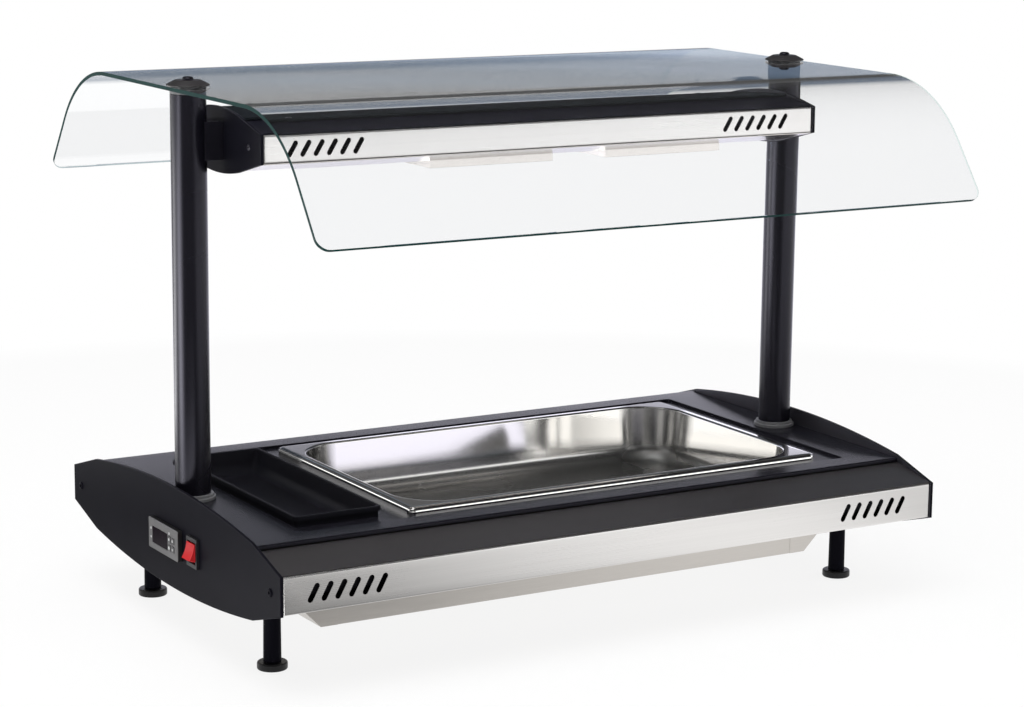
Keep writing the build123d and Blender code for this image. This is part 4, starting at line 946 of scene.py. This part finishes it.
def glass_grid(across=25, flat_steps=9, bend_steps=33, flap_steps=6, corner_steps=9):
    """Rows go along the sheet, columns once round its section: outer face to the right, inner face back."""
    corner_runs = glass_half_run - glass_corner * (1 - np.sin(quarter(corner_steps)))
    flat_runs = np.linspace(0, glass_flat_half, flat_steps)[1:-1]
    bend_runs = np.linspace(glass_flat_half, glass_bend_end, bend_steps)
    flap_runs = np.linspace(glass_bend_end, corner_runs[0], flap_steps)[1:-1]
    half = np.concatenate([flat_runs, bend_runs, flap_runs, corner_runs])
    runs = np.concatenate([-half[::-1], [0], half])
    past_corner = np.maximum(np.abs(runs) - (glass_half_run - glass_corner), 0)
    reach = glass_half_length - glass_corner + np.sqrt(np.maximum(glass_corner ** 2 - past_corner ** 2, 0))
    share = np.linspace(-1, 1, across)
    x = reach[:, None] * np.concatenate([share, share[::-1]])[None]
    drop = np.concatenate([np.zeros(across), np.full(across, glass_thickness)])
    y, z = bent(runs[:, None], drop[None])
    return np.stack([x, y, z], -1)


def glass_mesh():
    """The closed pane; faces that span the thickness take the second material, the ground edge."""
    grid = glass_grid()
    rows, columns = grid.shape[:2]
    across = columns // 2
    near = np.arange(across - 1)
    end = np.stack([near, near + 1, columns - 2 - near, columns - 1 - near], -1)
    skin = grid_quads(rows, columns, wrap_columns=True)
    faces = np.concatenate([skin, end[:, ::-1], end + (rows - 1) * columns])
    mesh = bpy.data.meshes.new("bent_glass")
    mesh.from_pydata(grid.reshape(-1, 3).tolist(), [], faces.tolist())
    outer = (faces % columns) < across
    mesh.polygons.foreach_set("material_index", (outer.any(1) & ~outer.all(1)).astype(np.int32))
    return tidy_mesh(mesh)


pane = show("bent_glass", glass_mesh(), "clear_glass", "warmer", "clear_glass", "glass_canopy")
pane.data.materials.append(finishes["glass_edge"])
bevel_edges(pane, "ground_edges", ground_edge).material = 1

# %% [markdown]
# The food pan is drawn from one sheet: a turned-down lip, a flat rim, a round into the walls, which lean in a
# little, and a wide round into the floor. Rounded rectangles at rising and falling heights make its skin,
# from the inside floor over the rim to the outside floor. The mouth's corners are much rounder than the
# rim's, as on every such pan.

# %% Food pan
pan_sheet, pan_floor_bend, pan_mouth_bend = 0.0009, 0.018, 0.0025
pan_rim_corner, pan_lip_bend, pan_lip_sheet, pan_lip_height = 0.008, 0.0055, 0.0012, 0.008
pan_corner_steps = 14
pan_draft = math.radians(6)


def wall_profile(depth, draft, floor_bend, mouth_bend, steps=9):
    """(inset, depth) from the mouth's flat down to the floor: a round lip, a leaning wall, a round foot."""
    fall = np.linspace(0, math.pi / 2 - draft, steps)
    lip_inset = mouth_bend * np.sin(fall) - mouth_bend
    lip_depth = mouth_bend * (1 - np.cos(fall))
    foot = np.linspace(draft, math.pi / 2, steps)
    foot_depth = depth - floor_bend + floor_bend * np.sin(foot)
    wall_end_inset = lip_inset[-1] + (foot_depth[0] - lip_depth[-1]) * math.tan(draft)
    foot_inset = wall_end_inset + floor_bend * (math.cos(draft) - np.cos(foot))
    return np.concatenate([lip_inset, foot_inset]), np.concatenate([lip_depth, foot_depth])


def pan_rings():
    """Rings of the whole skin, from the inside floor over the rim to the outside floor."""
    half = (pan_high - pan_low)[:2] / 2
    top, depth = pan_high[2], pan_high[2] - pan_low[2]
    mouth = half - pan_rim_width

    def walls(shift, reach):
        """Loops of one face of the walls, moved out by a shift, and their heights, down to a reach."""
        inset, below = wall_profile(reach, pan_draft, pan_floor_bend, pan_mouth_bend)
        loops = [rounded_rectangle(*(mouth + shift - i), pan_mouth_corner + shift - i, pan_corner_steps)
                 for i in inset]
        return loops, top - below

    inner_loops, inner_levels = walls(0.0, depth - pan_sheet)
    outer_loops, outer_levels = walls(pan_sheet, depth)
    turn = quarter(steps=7)
    lip_inset = pan_lip_bend * (1 - np.sin(turn))
    lip_level = top - pan_lip_bend * (1 - np.cos(turn))
    lip_low = top - pan_lip_height
    rim_inset = np.concatenate([lip_inset, [0, pan_lip_sheet, pan_lip_sheet]])
    rim_level = np.concatenate([lip_level, [lip_low, lip_low, top - pan_lip_sheet]])
    rim_loops = [rounded_rectangle(*(half - i), pan_rim_corner - i, pan_corner_steps) for i in rim_inset]
    outer_levels = outer_levels - pan_lip_sheet * (outer_levels > lip_low)
    levels = np.concatenate([inner_levels[::-1], rim_level, outer_levels])
    return rings_of(inner_loops[::-1] + rim_loops + outer_loops, levels, pan_middle)


pan_mesh = solid_mesh("drawn_pan", pan_rings(), wrap_columns=True, caps=True)
even_shading(show("drawn_pan", pan_mesh, "polished_stainless", "pan", "polished_stainless", "food_pan"))

# %% [markdown]
# The utensil tray is a moulded black tray with a deep square rim that stands on a narrower skirt. It is made
# like the pan, with plain leaning walls and smaller rounds.

# %% Utensil tray
tray_wall, tray_rim_width, tray_rim_height, tray_skirt_inset = 0.0025, 0.004, 0.005, 0.0025
tray_corner, tray_round, tray_depth, tray_floor_bend = 0.005, 0.0012, 0.025, 0.014
tray_corner_steps, tray_wall_steps = 8, 6
tray_draft = math.radians(12)


def tray_loop(half, corner=tray_corner):
    """Rounded rectangle of the tray's number of points."""
    return rounded_rectangle(*half, corner, tray_corner_steps)


def tray_rings():
    """Rings of the tray's skin: inside floor, walls, rounded rim, skirt, body and under side."""
    low, high = node_box("utensil_tray")
    half = (high - low)[:2] / 2
    top = high[2]
    foot = half - tray_rim_width
    mouth = foot - tray_wall + (top - ledge_top) * math.tan(tray_draft)
    body_fall = (ledge_top - low[2]) * math.tan(tray_draft)
    inset, below = wall_profile(tray_depth, tray_draft, tray_floor_bend, tray_round, tray_wall_steps)
    turn = quarter()
    rim_inset = np.concatenate([tray_round * (1 - np.sin(turn)), [0]])
    rim_low = top - tray_rim_height
    loops = [tray_loop(mouth - i) for i in inset[::-1]]
    loops += [tray_loop(half - i, tray_corner - i) for i in rim_inset]
    loops += [tray_loop(half - tray_skirt_inset, tray_corner - tray_skirt_inset)] * 2
    loops += [tray_loop(foot), tray_loop(foot - body_fall)]
    levels = [top - below[::-1], top - tray_round * (1 - np.cos(turn)),
              [rim_low, rim_low, ledge_top, ledge_top, low[2]]]
    return rings_of(loops, np.concatenate(levels), ((low + high) / 2)[:2])


tray_mesh = solid_mesh("moulded_tray", tray_rings(), wrap_columns=True, caps=True)
even_shading(show("moulded_tray", tray_mesh, "tray_plastic", "tray", "black_plastic", "utensil_tray"))

# %% [markdown]
# Posts, collars, caps, legs and feet are round, as from a lathe. A section of (radius, height) points is
# turned about an upright axis; corners get their small round from the same helper, so that each edge catches
# a line of light.

# %% Helpers for turned pieces
def rounded_section(points, rounds, steps=4):
    """Open (radius, height) line whose inner corners are replaced by arcs of the given radii.
    Each arc swings from one leg's tangent point to the other's about the centre on the corner's bisector."""
    points = np.asarray(points, float)
    rounds = np.asarray(rounds, float)
    corner, before, after = points[1:-1], points[:-2], points[2:]
    one = (before - corner) / np.linalg.norm(before - corner, axis=1, keepdims=True)
    two = (after - corner) / np.linalg.norm(after - corner, axis=1, keepdims=True)
    half = np.arccos(np.clip(np.sum(one * two, 1), -1, 1)) / 2
    bisector = (one + two) / np.linalg.norm(one + two, axis=1, keepdims=True)
    centre = corner + bisector * (rounds / np.sin(half))[:, None]
    reach = (rounds / np.tan(half))[:, None]
    start, end = (corner + one * reach - centre)[:, None], (corner + two * reach - centre)[:, None]
    swing = (math.pi - 2 * half)[:, None, None]
    share = np.linspace(0, 1, steps)[None, :, None]
    arcs = (np.sin((1 - share) * swing) * start + np.sin(share * swing) * end) / np.sin(swing)
    return np.concatenate([points[:1], (centre[:, None] + arcs).reshape(-1, 2), points[-1:]])


def turned(section, centres, steps=72):
    """A section turned about upright axes: at angle a the point is (x + r cos a, y + r sin a, z)."""
    angle = np.linspace(0, 2 * math.pi, steps, endpoint=False)[None, :, None]
    radius, level = section[:, 0], section[:, 1]
    x, y = np.asarray(centres, float).T[:, :, None, None]
    x, y = x + np.cos(angle) * radius, y + np.sin(angle) * radius
    return np.stack([x, y, np.broadcast_to(level, x.shape)], -1)


def show_turned(name, sections, centres, finish, body, slot, node):
    """One turned piece, or several in one: every section about every centre."""
    grids = np.concatenate([turned(section, centres) for section in sections])
    even_shading(show(name, solid_mesh(name, grids, wrap_rows=True), finish, body, slot, node))


def centre_of(node):
    """(x, y) of the middle of a node."""
    low, high = node_box(node)
    return ((low + high) / 2)[:2]


# %% [markdown]
# Each post is a coated tube that stands in a stepped plastic collar. On top the glass rests between two soft
# rings, and a domed cap holds it down. Radii and heights are taken from the nodes that they stand for, and
# only the small steps and rounds are given here.

# %% Posts, collars, gaskets and caps
post_centres = [centre_of("left_post"), centre_of("right_post")]
post_low, post_high = node_box("left_post")
post_radius = (post_high - post_low)[0] / 2
post_section = rounded_section([(0, post_low[2]), (post_radius, post_low[2]), (post_radius, post_high[2]),
                                (0, post_high[2])], rounds=[0.0005, 0.0008])
for name, centre in zip(("left", "right"), post_centres):
    show_turned(f"{name}_tube", [post_section], [centre], "post_coat", "warmer", "black_coat", f"{name}_post")

collar_foot, collar_step = 0.0035, 0.0021
collar_low, collar_high = node_box("post_collars")
collar_radius = (collar_high - collar_low)[1] / 2
neck_radius, neck_low = collar_radius - collar_step, collar_low[2] + collar_foot
collar_section = rounded_section([(post_radius, collar_low[2]), (collar_radius, collar_low[2]),
                                  (collar_radius, neck_low), (neck_radius, neck_low),
                                  (neck_radius, collar_high[2]), (post_radius, collar_high[2])],
                                 rounds=[0.0003, 0.0008, 0.0004, 0.0008])
show_turned("collars", [collar_section], post_centres, "grey_plastic", "warmer", "grey_plastic",
            "post_collars")

gasket_bore, gasket_round, gasket_below, gasket_above = 0.0043, 0.0003, 0.003, 0.001
gasket_low, gasket_high = node_box("glass_gaskets")
gasket_levels = [(gasket_low[2], gasket_low[2] + gasket_below),
                 (gasket_high[2] - gasket_above, gasket_high[2])]
gasket_sections = [rounded_section([(gasket_bore, low), (post_radius, low), (post_radius, high),
                                    (gasket_bore, high)], rounds=[gasket_round, gasket_round])
                   for low, high in gasket_levels]
show_turned("gasket_rings", gasket_sections, post_centres, "grey_plastic", "warmer", "grey_plastic",
            "glass_gaskets")

cap_low, cap_high = node_box("glass_caps")
cap_radius, cap_top_radius, cap_edge = (cap_high - cap_low)[1] / 2, 0.0138, 0.0015
cap_section = rounded_section([(0, cap_low[2]), (cap_radius, cap_low[2]), (cap_radius, cap_low[2] + cap_edge),
                               (cap_top_radius, cap_high[2]), (0, cap_high[2])],
                              rounds=[0.0004, 0.0008, 0.003])
show_turned("domed_caps", [cap_section], post_centres, "dark_coat", "warmer", "black_coat", "glass_caps")

# %% [markdown]
# The legs taper a little towards the top, and each ends in a rubber foot on a threaded spindle, which turns
# to level the warmer. The four feet are separate pieces, because each is on a body of its own.

# %% Legs and levelling feet
leg_top, leg_top_radius, leg_bottom_radius = 0.0923, 0.00875, 0.0095
leg_bottom = node_box("legs")[0][2]
feet = [f"{row}_{end}" for row in ("front", "rear") for end in ("left", "right")]
foot_centres = [centre_of(f"{foot}_foot") for foot in feet]
leg_section = rounded_section([(0, leg_bottom), (leg_bottom_radius, leg_bottom), (leg_top_radius, leg_top),
                               (0, leg_top)], rounds=[0.0006, 0.0006])
show_turned("tapered_legs", [leg_section], foot_centres, "panel_coat", "warmer", "black_coat", "legs")

foot_radius, foot_height, spindle_radius, spindle_top = 0.016, 0.008, 0.004, 0.038
foot_section = rounded_section([(0, 0), (foot_radius, 0), (foot_radius, foot_height),
                                (spindle_radius, foot_height), (spindle_radius, spindle_top),
                                (0, spindle_top)],
                               rounds=[0.0015, 0.0018, 0.0002, 0.0005])
for foot, centre in zip(feet, foot_centres):
    show_turned(f"{foot}_glide", [foot_section], [centre], "foot_rubber", f"foot_{foot}", "foot_rubber",
                f"{foot}_foot")

# %% [markdown]
# The screws have domed heads with a hexagon socket. In polar form a hexagon's radius is its inner radius
# divided by the cosine of the angle from the middle of a side, so a turned section becomes a socket head by
# letting the inner rings follow that hexagon and the outer ones stay round.

# %% Helpers for socket screws
socket_land, socket_rim_drop = 0.0004, 0.0002
drill_share, drill_step, drill_point = 0.9, 0.0001, 0.0003
dome_start = 0.25


def hexagon(angle):
    """Radius of a hexagon over its inner radius, at an angle."""
    return 1 / np.cos((angle + math.pi / 6) % (math.pi / 3) - math.pi / 6)


def socket_head(radius, rise, socket, sink, steps=36):
    """Grid of one screw head on the plane z = 0: a dome, a quarter of an ellipse from the rim to the land
    round the socket, and then the hexagon socket. Rows go round, columns inwards."""
    angle = np.linspace(0, 2 * math.pi, steps, endpoint=False)[:, None]
    climb = quarter(steps=7)
    land = socket + socket_land
    dome_radius = land + (radius - land) * np.cos(climb)
    dome_level = rise * (dome_start + (1 - dome_start) * np.sin(climb))
    socket_radius = [socket, socket, socket * drill_share, 0]
    socket_level = rise - np.array([socket_rim_drop, sink, sink + drill_step, sink + drill_point])
    ring = np.concatenate([[0, radius], dome_radius, socket_radius])
    level = np.concatenate([[0, 0], dome_level, socket_level])
    six_sided = np.arange(len(ring)) >= len(ring) - len(socket_radius)
    spread = ring * (1 + six_sided * (hexagon(angle) - 1))
    x, y = spread * np.cos(angle), spread * np.sin(angle)
    return np.stack([x, y, np.broadcast_to(level, spread.shape)], -1)


def end_heads(head, x, y, z):
    """Four heads on the plates at both ends, which look outwards along X, at -y and y."""
    return [head[..., [2, 1, 0]] * [side, 1, 1] + [side * x, place, z]
            for side in (-1, 1) for place in (-y, y)]


def show_screws(name, heads, node, finish="post_coat"):
    """A group of screw heads in one piece."""
    mesh = solid_mesh(name, np.array(heads), wrap_rows=True)
    even_shading(show(name, mesh, finish, "warmer", slot_of[node], node))


# %% [markdown]
# Screws sit where they hold something: on the caps, on the plates at the ends of the tie bars, and near the
# corners of the lamp housing's roof. So their places follow from the tie bars and from the roof.

# %% Socket screws
cap_screw = socket_head(radius=0.006, rise=0.0035, socket=0.0022, sink=0.002)
cap_heads = [cap_screw + [*centre, cap_high[2]] for centre in post_centres]
show_screws("cap_socket_screws", cap_heads, "cap_screws")

bar_half, lamp_bar_half = 0.006, 0.005
panel_head = socket_head(radius=0.0045, rise=0.0016, socket=0.0016, sink=0.0011)
panel_x = node_box("right_end_panel")[1][0]
bar_y, bar_z = node_box("base_tie_bars")[1][1:] - bar_half
show_screws("panel_socket_screws", end_heads(panel_head, panel_x, bar_y, bar_z), "panel_screws", "panel_coat")

roof_screw_x, roof_screw_y = 0.056, 0.008
small_head = socket_head(radius=0.0035, rise=0.0012, socket=0.0013, sink=0.0009)
lamp_plate_x = node_box("lamp_right_cap")[1][0]
lamp_bar_y, lamp_bar_z = node_box("lamp_tie_bars")[1][1:] - lamp_bar_half
roof_high = node_box("lamp_top_plate")[1]
roof_x, roof_y = roof_high[0] - roof_screw_x, roof_high[1] - roof_screw_y
small_heads = end_heads(small_head, lamp_plate_x, lamp_bar_y, lamp_bar_z)
small_heads += [small_head + [x, y, roof_high[2]] for x in (-roof_x, roof_x) for y in (-roof_y, roof_y)]
show_screws("lamp_socket_screws", small_heads, "lamp_screws")

# %% [markdown]
# The controller has a sunk dark window and four soft keys, each on its own body. Keys and window are rounded
# plates across X. Generic white marks are printed on the keys and the bezel: a thin plate in the shape of a
# regular figure, half sunk into its face.

# %% Window, keys and printed marks
def face_plate(name, node, corner, edge_radius, finish, body):
    """Small plate across X in the place of a node, with round corners and rounded edges."""
    low, high = node_box(node)
    middle, half = (low + high) / 2, (high - low) / 2
    rings, rim = rounded_plate(rounded_rectangle(*half[1:], corner, steps=5), low[0], high[0], edge_radius)
    mesh = solid_mesh(name, stand_up(rings, *middle[1:]), wrap_columns=True, caps=True, edge=rim)
    even_shading(show(name, mesh, finish, body, slot_of[node], node))


print_stand, print_edge = 0.0001, 0.00004


def mark(name, corners, start, radius, front, middle, body, slot):
    """White printed mark, a regular figure (y, z) with its first corner at an angle, on a face across X."""
    angle = math.radians(start) + 2 * math.pi * np.arange(corners) / corners
    loop = radius * np.stack([np.cos(angle), np.sin(angle)], -1)
    rings, _ = rounded_plate(loop, front - print_stand, front + print_stand, print_edge)
    mesh = solid_mesh(name, stand_up(rings, *middle), wrap_columns=True, caps=True)
    show(name, mesh, "white_print", body, slot)


face_plate("dark_window", "display_window", corner=0.0006, edge_radius=0.0003,
           finish="display", body="warmer")
# A figure is its number of corners and the angle of the first one.
square = (4, 45)
figures = {"set": square, "up": (3, 90), "down": (3, -90), "power": (16, 0)}
key_corner, key_edge_radius, key_mark_radius = 0.0012, 0.0006, 0.0019
for key in figures:
    face_plate(f"{key}_soft_key", f"{key}_key", key_corner, key_edge_radius, "key_rubber", f"{key}_button")
for key, (corners, start) in figures.items():
    low, high = node_box(f"{key}_key")
    middle = (low + high)[1:] / 2
    mark(f"{key}_mark", corners, start, key_mark_radius, low[0], middle, f"{key}_button", "key_rubber")
bezel_marks, bezel_mark_radius = [(0.036, 0.1122), (0.036, 0.1027), (-0.0124, 0.1169)], 0.0016
for number, middle in enumerate(bezel_marks):
    mark(f"bezel_mark_{number + 1}", *square, bezel_mark_radius, bezel_front, middle,
         body="warmer", slot="black_plastic")

# %% [markdown]
# The mains switch has a red rocker with a hollow face, which tilts about a pivot behind the middle of its
# face. Its side view is a hollow curve, x = -(c + d (z / h)^2), carried across its width with rounded edges.

# %% Rocker
rocker_pivot = np.array([-0.4105, -0.0645, 0.1083])
rocker_half_width, rocker_half_height, rocker_back = 0.0097, 0.009, 0.005
rocker_middle, rocker_hollow, rocker_edge_radius = 0.006, 0.00125, 0.0008
rocker_tilt, rocker_steps = math.radians(18), 25


def tilted(x, y, z):
    """Points given about the rocker's pivot, tilted so that the lower half stands out, in their place."""
    turned_x = x * math.cos(rocker_tilt) + z * math.sin(rocker_tilt)
    turned_z = z * math.cos(rocker_tilt) - x * math.sin(rocker_tilt)
    return np.stack(np.broadcast_arrays(turned_x, y, turned_z), -1) + rocker_pivot


face_z = np.linspace(-rocker_half_height, rocker_half_height, rocker_steps)
face_x = -(rocker_middle + rocker_hollow * (face_z / rocker_half_height) ** 2)
rocker_loop = np.concatenate([np.stack([face_x, face_z], -1), [[rocker_back, rocker_half_height],
                                                               [rocker_back, -rocker_half_height]]])[::-1]
rocker_rings, rocker_rim = rounded_plate(rocker_loop, -rocker_half_width, rocker_half_width,
                                         rocker_edge_radius)
rocker_points = tilted(rocker_rings[..., 0], rocker_rings[..., 2], rocker_rings[..., 1])
rocker_mesh = solid_mesh("red_rocker", rocker_points, wrap_columns=True, caps=True, edge=rocker_rim)
even_shading(show("red_rocker", rocker_mesh, "red_plastic", "rocker", "red_plastic", "switch_rocker"))
